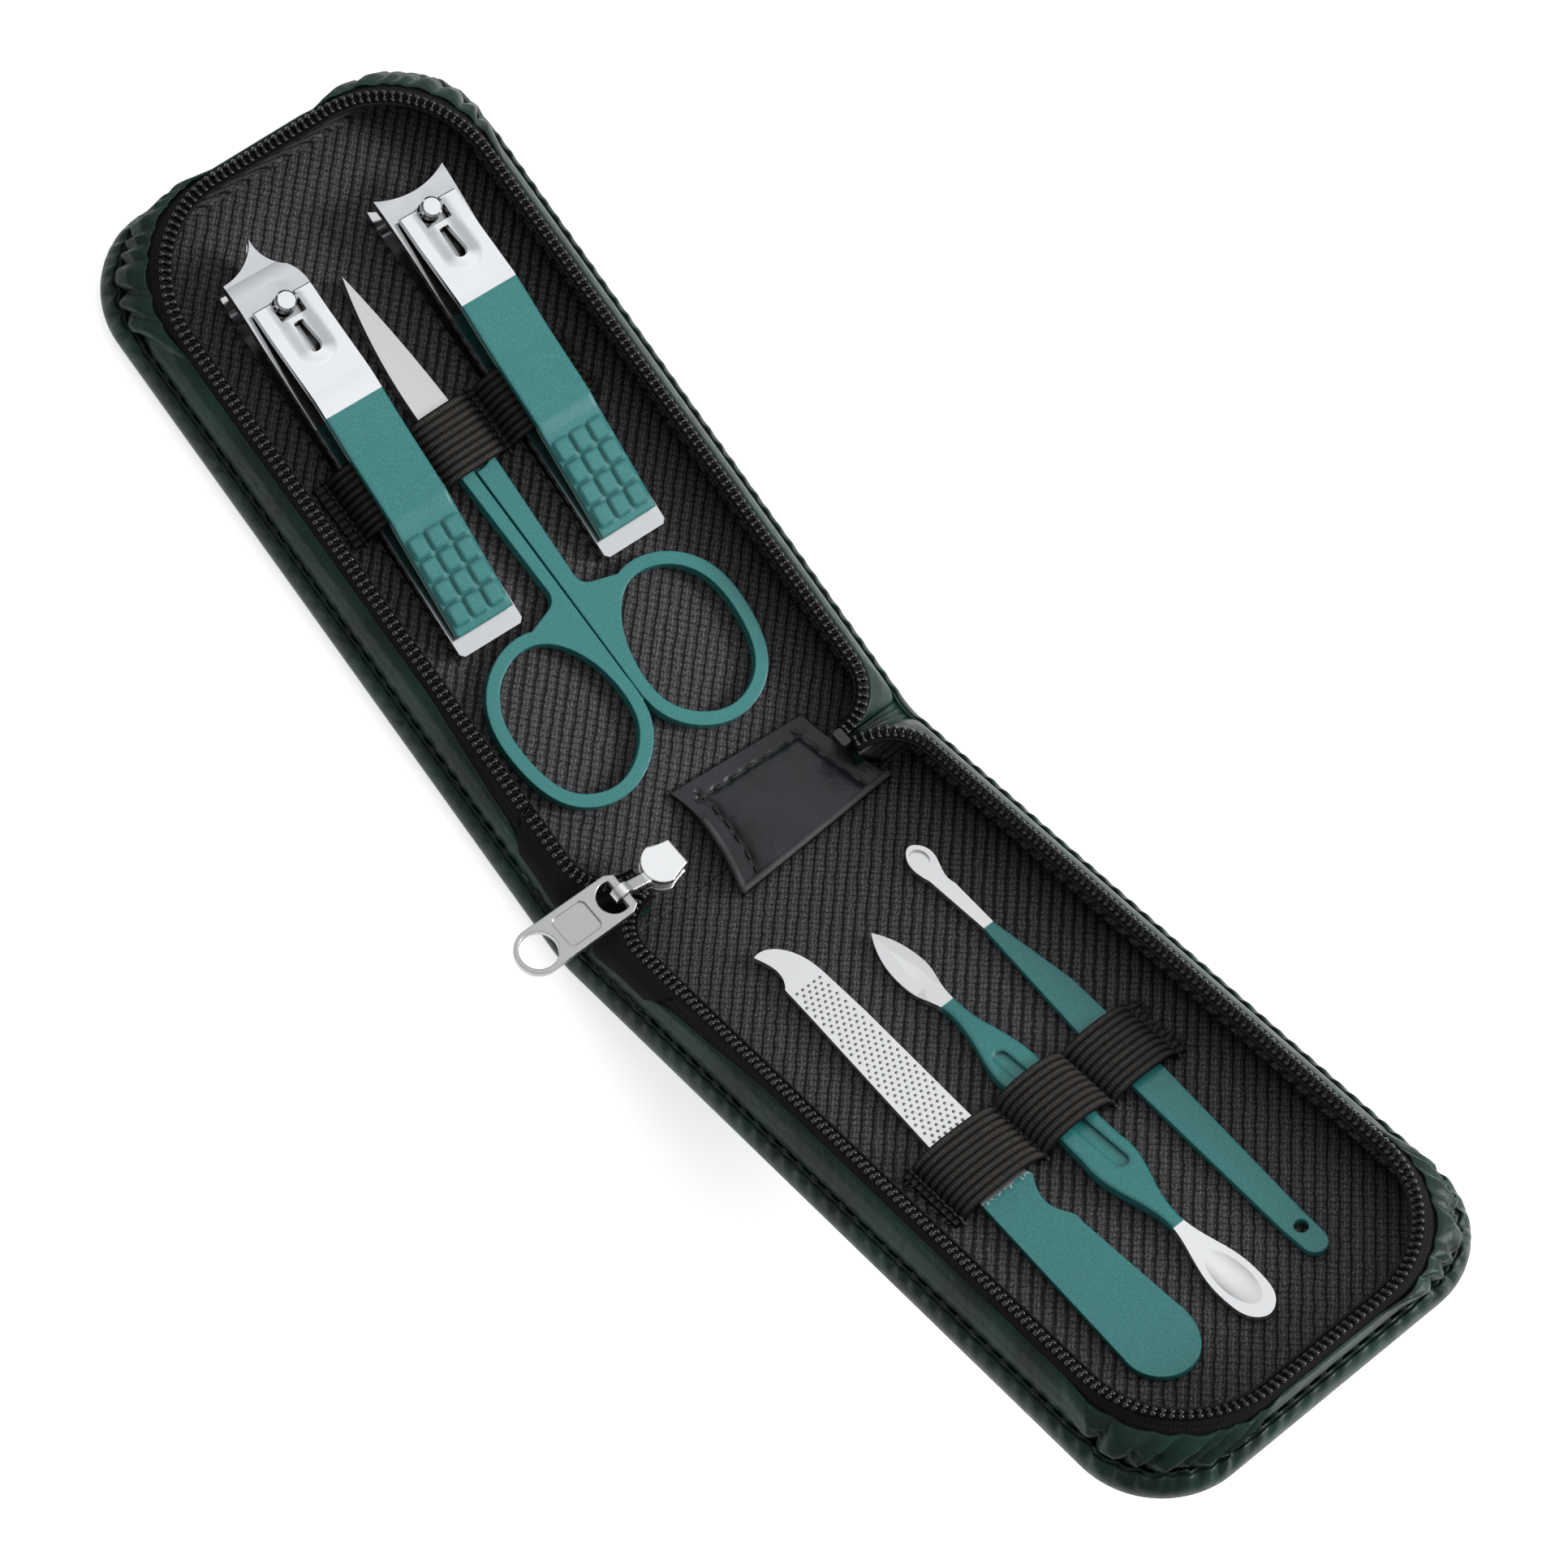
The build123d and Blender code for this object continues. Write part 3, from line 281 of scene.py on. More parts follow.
def skin(name, sections, material, round_section=True, round_path=False):
    """Skin through sections of equally many points; round ones close on themselves."""
    rows = len(sections)
    cols = len(sections[0])
    mid = cols // 2
    along = steps([s[mid] for s in sections] + ([sections[0][mid]] if round_path else []))
    across = steps(list(sections[0]) + ([sections[0][0]] if round_section else []))
    faces = []
    uvs = []
    for i in range(rows if round_path else rows - 1):
        n = (i + 1) % rows
        for j in range(cols if round_section else cols - 1):
            m = (j + 1) % cols
            faces.append((i * cols + j, n * cols + j, n * cols + m, i * cols + m))
            a, b, c, d = along[i], along[i + 1], across[j], across[j + 1]
            uvs.append(((a, c), (b, c), (b, d), (a, d)))
    if round_section and not round_path:
        for row, flip in ((0, False), (rows - 1, True)):
            ring = [row * cols + j for j in range(cols)]
            faces.append(ring[::-1] if flip else ring)
            uvs.append([(along[row], across[k % cols]) for k in range(cols)])
    return outward(finish_mesh(name, [p for s in sections for p in s], faces, uvs, material))


print("length of a 3-4-5 corner:", steps([(0, 0, 0), (3, 0, 0), (3, 4, 0)])[-1])

# %% [markdown]
# ## Outline of a case half
# Every layer of the wall follows the same kind of outline: it starts at the mouth beside the
# fold, curls round the near corner, runs up the side, round the far corner and back. Each layer
# only has other sizes and radii, so one function gives them all, always with the same number of
# points. Then point 200 of the leather stands beside point 200 of the lining, and layers can be
# joined without any search.

# %% Outline
NEAR_ARC = 26
SIDE_RUN = 250
FAR_ARC = 130
END_RUN = 90
SIDE_START = 4 + NEAR_ARC
FAR_START = SIDE_START + SIDE_RUN
OUTLINE_COUNT = 2 * (FAR_START + FAR_ARC) + END_RUN + 1


def arc(cx, cy, r, start, end, count):
    """Points on an arc, its first point left out."""
    angles = [start + (end - start) * k / count for k in range(1, count + 1)]
    return [(cx + r * cos(a), cy + r * sin(a)) for a in angles]


def run(p, q, count):
    """Points on a straight line, its first point left out."""
    numbers = range(1, count + 1)
    return [(p[0] + (q[0] - p[0]) * k / count, p[1] + (q[1] - p[1]) * k / count) for k in numbers]


def outline(half, far, r_far, r_near, near, mouth):
    """Open outline of a half, from its right mouth round the far end to its left mouth."""
    right = [(mouth, near)]
    right += run(right[-1], (half - r_near, near), 4)
    right += arc(half - r_near, near + r_near, r_near, -pi / 2, 0, NEAR_ARC)
    right += run(right[-1], (half, far - r_far), SIDE_RUN)
    right += arc(half - r_far, far - r_far, r_far, 0, pi / 2, FAR_ARC)
    left = [(-x, y) for x, y in reversed(right)]
    return right + run(right[-1], left[0], END_RUN)[:-1] + left


print("outline points:", len(outline(30, 113, 13, 3, 0.3, 18)), "expected", OUTLINE_COUNT)

# %% [markdown]
# ## Leather
# The case is PU leather: a polyurethane film on cloth, pressed with a fine grain by a roller. It could be
# drawn with a picture of leather. Patterns worked out from the place of each point are used instead, because
# they never repeat and have no seams. Voronoi cells make the pressed grain, fine noise makes the unevenness,
# slow noise makes the broad waves of a padded sheet. All of them act as bump, which tilts the light without
# moving the mesh. In the shut bottoms of folds, where light never reaches, ambient occlusion paints shade
# into the colour, nearly black.

# %% Leather recipe
SHEET_WAVE = 14


def leather(name, base, deep, rough, grain_mm, gloss, bump_mm=0.06):
    """Coated leather: two close colours, painted shade in the folds, pressed grain as bump, a soft gloss."""
    material, tree, shader = new_material(name)
    place = add(tree, "ShaderNodeTexCoord").outputs["Object"]
    cloud = add(tree, "ShaderNodeTexNoise", {"Vector": place, "Scale": 1 / (9 * MM), "Detail": 4.0})
    patchy = add(tree, "ShaderNodeMapRange", {"Value": cloud, "From Min": 0.35, "From Max": 0.65})
    tone = add(tree, "ShaderNodeMix", {0: patchy, 6: colour(deep), 7: colour(base)}, data_type="RGBA")
    # painted shade: ambient occlusion turns the colour nearly black in the bottoms of folds
    air = add(tree, "ShaderNodeAmbientOcclusion", {"Distance": 1.3 * MM}, samples=4, only_local=True)
    shut = add(
        tree, "ShaderNodeMapRange", {"Value": air.outputs["AO"], "From Min": 0.88, "From Max": 0.4}
    )
    painted_crease_shade = add(
        tree, "ShaderNodeMix", {0: shut, 6: tone.outputs[2], 7: colour("#020403")}, data_type="RGBA"
    )
    cells = add(
        tree, "ShaderNodeTexVoronoi",
        {"Vector": place, "Scale": 1 / (grain_mm * MM)}, feature="DISTANCE_TO_EDGE",
    )
    fine = add(tree, "ShaderNodeTexNoise", {"Vector": place, "Scale": 1 / (1.6 * MM), "Detail": 5.0})
    slow = add(tree, "ShaderNodeTexNoise", {"Vector": place, "Scale": 1 / (SHEET_WAVE * MM), "Detail": 0.0})
    bump = add(
        tree, "ShaderNodeBump", {"Strength": 0.3, "Distance": bump_mm * MM, "Height": cells}
    )
    for strength, depth_mm, height in ((0.5, 0.3, fine), (0.8, 0.9, slow)):
        bump = add(
            tree, "ShaderNodeBump",
            {"Strength": strength, "Distance": depth_mm * MM, "Height": height, "Normal": bump},
        )
    rough_map = add(
        tree, "ShaderNodeMapRange", {"Value": fine, "To Min": rough - 0.08, "To Max": rough + 0.12}
    )
    fill(tree, shader, {
        "Base Color": painted_crease_shade.outputs[2], "Normal": bump, "Roughness": rough_map,
        "IOR": 1.5, "Specular IOR Level": gloss,
    })
    return material


print("the padded sheet waves every", SHEET_WAVE, "mm or so")

# %% [markdown]
# One recipe gives three finishes. The dark green cover has a dull sheen: the eye sees it nearly
# black in the folds and clearly green only where it faces the light. The black patch is thin and
# smooth, with a wet gloss and hardly any grain. The cut edges show the grey cloth backing.

# %% Three leathers
green_leather = leather("pu_leather_dark_green_pressed", "#133029", "#0A1D18", 0.42, 0.55, 0.24)
black_leather = leather("pu_leather_black_smooth", "#232529", "#17181B", 0.3, 0.8, 0.4, 0.02)
cut_edge = leather("pu_leather_cut_edge", "#4A4A4C", "#353537", 0.5, 0.5, 0.25)
print("leathers:", [m.name for m in (green_leather, black_leather, cut_edge)])

# %% [markdown]
# ## Woven cloth
# Threads are even waves with thin gaps between them. A sine of the place, made positive and
# raised to a small power, is high over the whole thread and falls steeply at the gap. Blender's
# own Wave texture would do for one direction, but here two sets of threads are multiplied, so
# the wave is built from plain math and used for every cloth.

# %% Threads as waves
def crests(tree, value, spacing, sharp):
    """0 in the gap and 1 on the thread, repeated at a spacing in millimetres."""
    turns = add(tree, "ShaderNodeMath", {0: value, 1: pi / spacing}, operation="MULTIPLY")
    wave = add(tree, "ShaderNodeMath", {0: turns}, operation="SINE")
    size = add(tree, "ShaderNodeMath", {0: wave}, operation="ABSOLUTE")
    return add(tree, "ShaderNodeMath", {0: size, 1: sharp}, operation="POWER")


def product(tree, *values):
    """Multiply any number of values of a node tree."""
    result = values[0]
    for value in values[1:]:
        result = add(tree, "ShaderNodeMath", {0: result, 1: value}, operation="MULTIPLY")
    return result


print("thread height halfway to the gap:", round(abs(sin(pi / 4)) ** 0.5, 2))

# %% [markdown]
# The lining is woven polyester, cut on the bias, so its threads run at 45 degrees to the case.
# Bundles of warp threads lie side by side with a gap between bundles, and finer weft threads cross them.
# Cloth is never perfectly even: one noise bends the threads a little, and another gives each spot its own
# brightness. The cloth is a matte charcoal. Its colour is painted near black in the gaps, as painted shade,
# and lighter on the crests and knots of the threads, as painted highlights. The UV map is in millimetres, so
# the spacings below are the real ones.

# %% Lining cloth
BUNDLE, WARP, WEFT = 1.57, 0.52, 0.98
lining_cloth, lining_tree, lining_shader = new_material(
    "polyester_lining_charcoal_woven", {"Roughness": 0.8, "Specular IOR Level": 0.2}
)
lining_uv = add(lining_tree, "ShaderNodeUVMap", uv_map="mm")
diagonal = add(lining_tree, "ShaderNodeMapping", {"Vector": lining_uv, "Rotation": (0, 0, pi / 4)})
wobble = add(lining_tree, "ShaderNodeTexNoise", {"Vector": lining_uv, "Scale": 0.45, "Detail": 4.0})
bent = add(
    lining_tree, "ShaderNodeVectorMath",
    {0: wobble.outputs["Color"], 1: (0.7, 0.7, 0.0), 2: diagonal}, operation="MULTIPLY_ADD",
)
weave_axes = add(lining_tree, "ShaderNodeSeparateXYZ", {0: bent})
bundles = crests(lining_tree, weave_axes.outputs["X"], BUNDLE, 0.32)
warp = crests(lining_tree, weave_axes.outputs["X"], WARP, 0.5)
weft = crests(lining_tree, weave_axes.outputs["Y"], WEFT, 0.4)
fibre = add(lining_tree, "ShaderNodeTexNoise", {"Vector": lining_uv, "Scale": 3.2, "Detail": 5.0})
uneven = add(
    lining_tree, "ShaderNodeMapRange",
    {"Value": fibre, "From Min": 0.3, "From Max": 0.7, "To Min": 0.45, "To Max": 1.0},
)
# painted highlights on the crests and where threads cross, painted shade in the gaps between bundles
knots = product(lining_tree, warp, weft)
painted_knot_glints = add(lining_tree, "ShaderNodeMath", {0: knots, 1: 0.45, 2: 0.55}, operation="MULTIPLY_ADD")
shade = product(lining_tree, bundles, painted_knot_glints, uneven)
# the ramp runs from painted shade, near black, to painted highlight, light grey
weave_and_painted_light = add(lining_tree, "ShaderNodeValToRGB", {0: shade})
weave_and_painted_light.color_ramp.elements[0].color = colour("#020202")
weave_and_painted_light.color_ramp.elements[1].color = colour("#6E6C6E")
weave_and_painted_light.color_ramp.elements.new(0.27).color = colour("#0B0A0B")
weave_and_painted_light.color_ramp.elements.new(0.42).color = colour("#262426")
weave_bump = add(
    lining_tree, "ShaderNodeBump", {"Strength": 0.7, "Distance": 0.14 * MM, "Height": shade}
)
fill(lining_tree, lining_shader, {"Base Color": weave_and_painted_light, "Normal": weave_bump})
print("threads per centimetre:", round(10 / WARP), "along,", round(10 / WEFT), "across")

# %% [markdown]
# The zip tape and the elastic are narrow woven goods. The tape is a tight flat weave of dyed polyester that
# looks almost black. The elastic is webbing woven over rubber cords: the cords draw it up into ribs. On both,
# the colour is painted lighter on the tops of the threads, brownish on the elastic, as a painted highlight,
# and near black between them, as painted shade. The elastic's UV map counts one unit for each rib across the
# strap, so the colour stays on the ribs, and millimetres along it. The threads are drawn about twice as
# coarse as real ones, because finer ones would melt into grey.

# %% Tape and elastic
def narrow_weave(name, top, gap, along_mm, across, sharp, rough):
    """Narrow woven cloth: ribs across its UV's second axis, fine threads along the first, with painted
    highlight on the tops and painted shade in the gaps.
    """
    material, tree, shader = new_material(name, {"Roughness": rough, "Specular IOR Level": 0.15})
    uv = add(tree, "ShaderNodeUVMap", uv_map="mm")
    axes = add(tree, "ShaderNodeSeparateXYZ", {0: uv})
    ribs = crests(tree, axes.outputs["Y"], across, sharp)
    threads = crests(tree, axes.outputs["X"], along_mm, 0.4)
    fuzz = add(tree, "ShaderNodeTexNoise", {"Vector": uv, "Scale": 3.0, "Detail": 5.0})
    loose = add(
        tree, "ShaderNodeMapRange",
        {"Value": fuzz, "From Min": 0.3, "From Max": 0.7, "To Min": 0.35, "To Max": 1.0},
    )
    height = product(tree, ribs, threads)
    lit = product(tree, height, loose)
    # painted light: lit thread tops take the top colour as a painted highlight, the gaps the gap colour as
    # painted shade
    tone = add(tree, "ShaderNodeMix", {0: lit, 6: colour(gap), 7: colour(top)}, data_type="RGBA")
    bump = add(tree, "ShaderNodeBump", {"Strength": 0.6, "Distance": 0.1 * MM, "Height": height})
    fill(tree, shader, {"Base Color": tone.outputs[2], "Normal": bump})
    return material


zip_tape_cloth = narrow_weave("zip_tape_black_woven", "#1A1A1A", "#060606", 0.55, 0.6, 0.5, 0.8)
elastic_cloth = narrow_weave("elastic_webbing_black_ribbed", "#4C4743", "#030303", 0.42, 1.0, 1.5, 0.7)
print("cloths:", [m.name for m in (lining_cloth, zip_tape_cloth, elastic_cloth)])

# %% [markdown]
# ## Marks of the press
# The levers and jaws are stamped from sheet. The punch drags the metal down round a slot, the
# die curls the sheet toward the cutting edge, and the sheet keeps a faint ripple. All three could
# be modelled, but they are shallower than a tenth of a millimetre and only the mirror-like
# plating gives them away. So they are written as one height: by the distance from a line, by the
# distance along it, and by noise.

# %% Dent, curl and ripple
DENT_HALF, DENT_REACH = 0.6, 3.3


def along_axis(tree, place, origin, direction):
    """Place seen from a point of an axis, and its distance along that axis."""
    start = tuple(c * MM for c in origin)
    local = add(tree, "ShaderNodeVectorMath", {0: place, 1: start}, operation="SUBTRACT")
    along = add(tree, "ShaderNodeVectorMath", {0: local, 1: direction}, operation="DOT_PRODUCT")
    return local, along.outputs["Value"]


def pressed(tree, place, normal, press):
    """Bump of a dent along a line, of a curl past a point of that line, and of faint waves."""
    origin, direction, dent_from, dent_to, depth, curl_from = press
    local, along = along_axis(tree, place, origin, direction)
    nearest = add(tree, "ShaderNodeClamp", {0: along, "Min": dent_from * MM, "Max": dent_to * MM})
    on_line = add(tree, "ShaderNodeVectorMath", {0: direction, "Scale": nearest}, operation="SCALE")
    off_line = add(tree, "ShaderNodeVectorMath", {0: local, 1: on_line}, operation="SUBTRACT")
    flat = add(tree, "ShaderNodeVectorMath", {0: off_line, 1: (1.0, 1.0, 0.0)}, operation="MULTIPLY")
    away = add(tree, "ShaderNodeVectorMath", {0: flat}, operation="LENGTH").outputs["Value"]
    dent = add(
        tree, "ShaderNodeMapRange",
        {"Value": away, "From Min": DENT_HALF * MM, "From Max": DENT_REACH * MM,
         "To Min": -depth, "To Max": 0.0},
        interpolation_type="SMOOTHSTEP",
    )
    past = add(
        tree, "ShaderNodeMapRange",
        {"Value": along, "From Min": curl_from * MM, "From Max": (curl_from + 5) * MM, "To Max": 5.0},
    )
    squared = product(tree, past, past)
    curled = add(tree, "ShaderNodeMath", {0: squared, 1: -0.05, 2: dent}, operation="MULTIPLY_ADD")
    waves = add(tree, "ShaderNodeTexNoise", {"Vector": place, "Scale": 1 / (7 * MM), "Detail": 0.0})
    height = add(tree, "ShaderNodeMath", {0: waves, 1: 0.12, 2: curled}, operation="MULTIPLY_ADD")
    return add(
        tree, "ShaderNodeBump", {"Strength": 1.0, "Distance": MM, "Height": height, "Normal": normal}
    )


print("a dent fades out", DENT_REACH, "mm from its line")

# %% [markdown]
# ## Plated steel
# Nickel and chrome plating is a metal shader, almost white, with its roughness near a mirror. Fine
# noise stands for the marks of polishing. Three things keep it from looking like plastic foil.
# The Bevel node rounds the stamped edges, which in the model are sharp, so they catch a line of light. The
# marks vary the roughness a little. And where two sheets nearly touch, ambient occlusion darkens the
# plating's colour: painted shade that stands for the dark gap mirrored in it.

# %% Plating
MARKS = 0.9


def plating(tree, place, shade, rough, grain, soft_edge):
    """Colour, roughness and bump of bare plated or satin steel, with painted shade where sheets nearly touch.
    """
    edge = add(tree, "ShaderNodeNewGeometry").outputs["Normal"]
    if soft_edge:
        edge = add(tree, "ShaderNodeBevel", {"Radius": soft_edge * MM}, samples=4)
    marks = add(tree, "ShaderNodeTexNoise", {"Vector": place, "Scale": 1 / (MARKS * MM), "Detail": 4.0})
    bump = add(
        tree, "ShaderNodeBump",
        {"Strength": 0.02 + grain, "Distance": 0.02 * MM, "Height": marks, "Normal": edge},
    )
    metal_rough = add(tree, "ShaderNodeMapRange", {"Value": marks, "To Min": rough, "To Max": rough + 0.08})
    # painted shade: where sheets nearly touch, ambient occlusion darkens the plating's colour
    gap = add(tree, "ShaderNodeAmbientOcclusion", {"Distance": 3.0 * MM}, samples=6).outputs["AO"]
    gap_light = add(tree, "ShaderNodeMapRange", {"Value": gap, "From Min": 0.06, "From Max": 0.4})
    plate = add(
        tree, "ShaderNodeMix", {0: gap_light, 6: colour("#35332F"), 7: colour(shade)}, data_type="RGBA"
    )
    return plate.outputs[2], metal_rough, bump


print("polishing marks are drawn", MARKS, "mm wide, coarser than real ones, so that they show")

# %% [markdown]
# ## Teal lacquer
# The handles are dipped in a teal lacquer. It is a coated plastic film, not a metal: it covers the steel's
# colour and has its own soft gloss. One shader can be both if a mask moves its colour, metallic share,
# roughness and normal together. The mask is worked out from the distance along the tool, so the film can end
# in a straight line, or in a ragged one where it was scraped by the punching of the file. In corners ambient
# occlusion paints shade into the film's colour, and fine spray speckle keeps it from looking like clean
# plastic.

# %% Where the lacquer is
FILM_EDGE = 0.06


def lacquer_mask(tree, place, lacquer):
    """1 on the film and 0 on bare steel, from (axis point, direction, start, end, ragged)."""
    origin, direction, start, end, ragged = lacquer
    _, along = along_axis(tree, place, origin, direction)
    drip = add(tree, "ShaderNodeTexNoise", {"Vector": place, "Scale": 1 / (0.5 * MM), "Detail": 2.0})
    shift = add(tree, "ShaderNodeMath", {0: drip, 1: 0.5}, operation="SUBTRACT")
    distance = add(tree, "ShaderNodeMath", {0: shift, 1: ragged * MM, 2: along}, operation="MULTIPLY_ADD")
    sides = [
        add(
            tree, "ShaderNodeMapRange",
            {"Value": distance, "From Min": (at - soft) * MM, "From Max": (at + soft) * MM},
        )
        for at, soft in ((start, FILM_EDGE), (end, -FILM_EDGE))
    ]
    return product(tree, *sides)


def film_colour(tree, place):
    """Teal with spray speckle of a fifth of a millimetre, with painted shade in corners."""
    film = add(tree, "ShaderNodeTexNoise", {"Vector": place, "Scale": 1 / (0.22 * MM), "Detail": 3.0})
    tone = add(tree, "ShaderNodeValToRGB", {0: film})
    for element, position, shade in zip(tone.color_ramp.elements, (0.3, 0.7), ("#236765", "#35837F")):
        element.position = position
        element.color = colour(shade)
    # painted shade: ambient occlusion darkens the teal in corners and between the grip pads
    corner = add(tree, "ShaderNodeAmbientOcclusion", {"Distance": 0.9 * MM}, samples=6, only_local=True)
    open_air = add(
        tree, "ShaderNodeMapRange", {"Value": corner.outputs["AO"], "From Min": 0.35, "From Max": 0.9}
    )
    mixed = add(tree, "ShaderNodeMix", {0: open_air, 6: colour("#12484A"), 7: tone}, data_type="RGBA")
    return mixed.outputs[2]


print("the film ends within", 2 * FILM_EDGE, "mm where it is not ragged")

# %% [markdown]
# ## Tool finishes
# Plating, press marks and lacquer come together in one recipe. Bare steel links the plating
# straight to the shader. A lacquered tool mixes plating and film by the mask, and the film's
# normal stays flat at the edges, because the dipped film fills the last roughness.

# %% Steel recipe
FILM_ROUGH = 0.3


def steel(name, shade, rough, grain=0.0, lacquer=None, soft_edge=0.0, press=None):
    """Plated or satin steel. lacquer is (axis point, axis direction, start, end, ragged) in
    millimetres, press is (axis point, axis direction, dent from, dent to, dent depth, curl from)."""
    material, tree, shader = new_material(name)
    place = add(tree, "ShaderNodeTexCoord").outputs["Object"]
    bare, metal_rough, bump = plating(tree, place, shade, rough, grain, soft_edge)
    if press:
        bump = pressed(tree, place, bump, press)
    if soft_edge or grain or press:
        fill(tree, shader, {"Normal": bump})
    if lacquer is None:
        fill(tree, shader, {"Base Color": bare, "Metallic": 1.0, "Roughness": metal_rough})
        return material
    mask = lacquer_mask(tree, place, lacquer)
    if soft_edge:
        flat = add(tree, "ShaderNodeNewGeometry").outputs["Normal"]
        if press:
            flat = pressed(tree, place, flat, press)
        coated = add(tree, "ShaderNodeMix", {0: mask, 4: flat, 5: bump}, data_type="VECTOR")
        fill(tree, shader, {"Normal": coated.outputs[1]})
    film = film_colour(tree, place)
    mixed = add(tree, "ShaderNodeMix", {0: mask, 6: bare, 7: film}, data_type="RGBA")
    metal_share = add(tree, "ShaderNodeMath", {0: 1.0, 1: mask}, operation="SUBTRACT")
    spread = add(tree, "ShaderNodeMix", {0: mask, 2: metal_rough, 3: FILM_ROUGH})
    fill(tree, shader, {
        "Base Color": mixed.outputs[2], "Metallic": metal_share, "Roughness": spread,
        "Specular IOR Level": 0.5,
    })
    return material


print("lacquer roughness", FILM_ROUGH)

# %% [markdown]
# Now each tool gets the finish that it has in the hand. The clippers are stamped steel with bright chrome:
# levers with a teal sleeve, bare jaws in the same chrome painted a shade darker as painted shade, bright
# rivets and posts. The scissors, the file, the pusher and the ear pick are satin stainless steel, so their
# bare ends are greyer and softer than the chrome. The slider is cast zinc with a bright nickel skin; its pull
# was tumbled, which leaves it duller. The axes below run from each tool's handle end, and the last numbers
# say where the lacquer starts and stops.

# %% Clippers
CHROME = "#E9EAEB"
bench = {"straight": ((12.1, 39.4, 0.0), radians(1.81)), "slant": ((-13.7, 39.1, 0.0), radians(2.2))}
TEAL_END = {"straight": 39.6, "slant": 36.9}
chrome = steel("steel_chrome_plated_polished", CHROME, 0.1)
tool_finish = {}
for kind, (origin, angle) in bench.items():
    way = (sin(angle), cos(angle), 0.0)
    tool_finish[f"{kind}_lever"] = steel(
        f"steel_lacquered_teal_{kind}_lever", CHROME, 0.1,
        lacquer=(origin, way, -5.0, TEAL_END[kind], 0.0), soft_edge=0.8,
        press=(origin, way, 46.5, 54.2, 0.5, 60.0),
    )
    # painted shade: the jaws are the same chrome as the levers, painted a shade darker
    jaw_finish_painted_darker = steel(
        f"steel_chrome_plated_{kind}_jaws", "#CBCCCD", 0.1, press=(origin, way, 52.5, 54.9, 0.15, 54.6)
    )
    for part in ("lower_jaw", "upper_jaw"):
        tool_finish[f"{kind}_{part}"] = jaw_finish_painted_darker
    for part in ("rivet", "post"):
        tool_finish[f"{kind}_{part}"] = chrome
print("clipper parts with a finish:", len(tool_finish))

# %% [markdown]
# The small tools in half B share one axis, which leans with that half. The scissors lie flat in
# half A. Their two halves are the same stamping turned over, so they share one material.

# %% Scissors, small tools and zip metal
b_axis = (on_b(0.0, 0.0, 2.5), (0.0, -tilt_c, tilt_s))
flat_axis = ((0, 0, 0), (0.0, 1.0, 0.0))
# nodes, name, bare shade, roughness, grain, axis, lacquer from, to, ragged by, rounded edge
TOOLS = (
    (["scissors_right_half", "scissors_left_half"],
     "scissors", "#CDCDCD", 0.3, 0.1, flat_axis, -5.0, 65.0, 0.0, 0.35),
    (["nail_file"], "file", "#EEEEEE", 0.36, 0.1, b_axis, 65.8, 120.0, 2.6, 0.2),
    (["cuticle_pusher"], "pusher", "#EAEAEA", 0.3, 0.05, b_axis, 39.0, 85.0, 0.0, 0.9),
    (["ear_pick"], "pick", "#EAEAEA", 0.3, 0.05, b_axis, 33.1, 120.0, 0.0, 0.35),
)
for tool_nodes, tool, shade, rough, grain, axis, teal_from, teal_to, ragged, soft in TOOLS:
    lacquer = (*axis, teal_from, teal_to, ragged)
    finish = steel(f"steel_lacquered_teal_{tool}", shade, rough, grain, lacquer, soft)
    for node_name in tool_nodes:
        tool_finish[node_name] = finish
tool_finish["scissors_screw"] = chrome
tool_finish["zip_slider"] = steel("zinc_nickel_plated_cast", "#EDEDED", 0.24, 0.05, soft_edge=0.3)
tool_finish["zip_pull"] = steel("zinc_nickel_plated_tumbled", "#B8B8B8", 0.3, 0.12, soft_edge=0.3)
for node_name, finish in tool_finish.items():
    paint(node_name, finish)
print("lacquered and plated nodes:", len(tool_finish))

# %% [markdown]
# ## Pleats at the far corners
# A flat strip that turns a corner has too much length on its inner edge, so the leather is
# gathered into pleats by hand, and no two are alike. Cloth simulation could fold it, but would
# not put a pleat where it is wanted. Here each corner gets a few pleats of random width and depth
# as one number for each outline point: 0 on a crown and -1 in a crease. The random numbers start
# from a fixed seed, so the same pleats come back on every run.

# %% Gathers
pleat_random = np.random.default_rng(7)
CORNERS = ((FAR_START, 1), (OUTLINE_COUNT - 1 - FAR_START, -1))
REACH = 12


def gathers(count):
    """For each outline point: 0 on a pleat's crown, down to -1 in the crease between two pleats."""
    depth = np.zeros(OUTLINE_COUNT)
    for first, order in CORNERS:
        widths = pleat_random.uniform(0.55, 1.7, count)
        edges = np.concatenate([[0.0], np.cumsum(widths) / widths.sum()])
        deep = pleat_random.uniform(0.45, 1.0, count + 1)
        for k in range(-REACH, FAR_ARC + REACH + 1):
            place = min(max(k / FAR_ARC, 0.0), 1.0)
            nearest = np.argmin(abs(edges - place))
            gap = abs(edges[nearest] - k / FAR_ARC) * count
            depth[first + order * k] = -deep[nearest] * max(0.0, 1 - (2 * gap) ** 0.7)
    return depth


GATHERS = {"a": gathers(8), "b": gathers(7)}
# round the corners the leather also stands proud, so that the pleats puff outwards
PROUD = np.zeros(OUTLINE_COUNT)
for first, order in CORNERS:
    for k in range(-REACH, FAR_ARC + REACH + 1):
        PROUD[first + order * k] = np.interp(
            k, (-REACH, 4, FAR_ARC - 4, FAR_ARC + REACH), (0, 1, 1, 0)
        )
# outline points that a crease moves on for each millimetre of height
LEAN = {"a": 2.6, "b": -5.0}


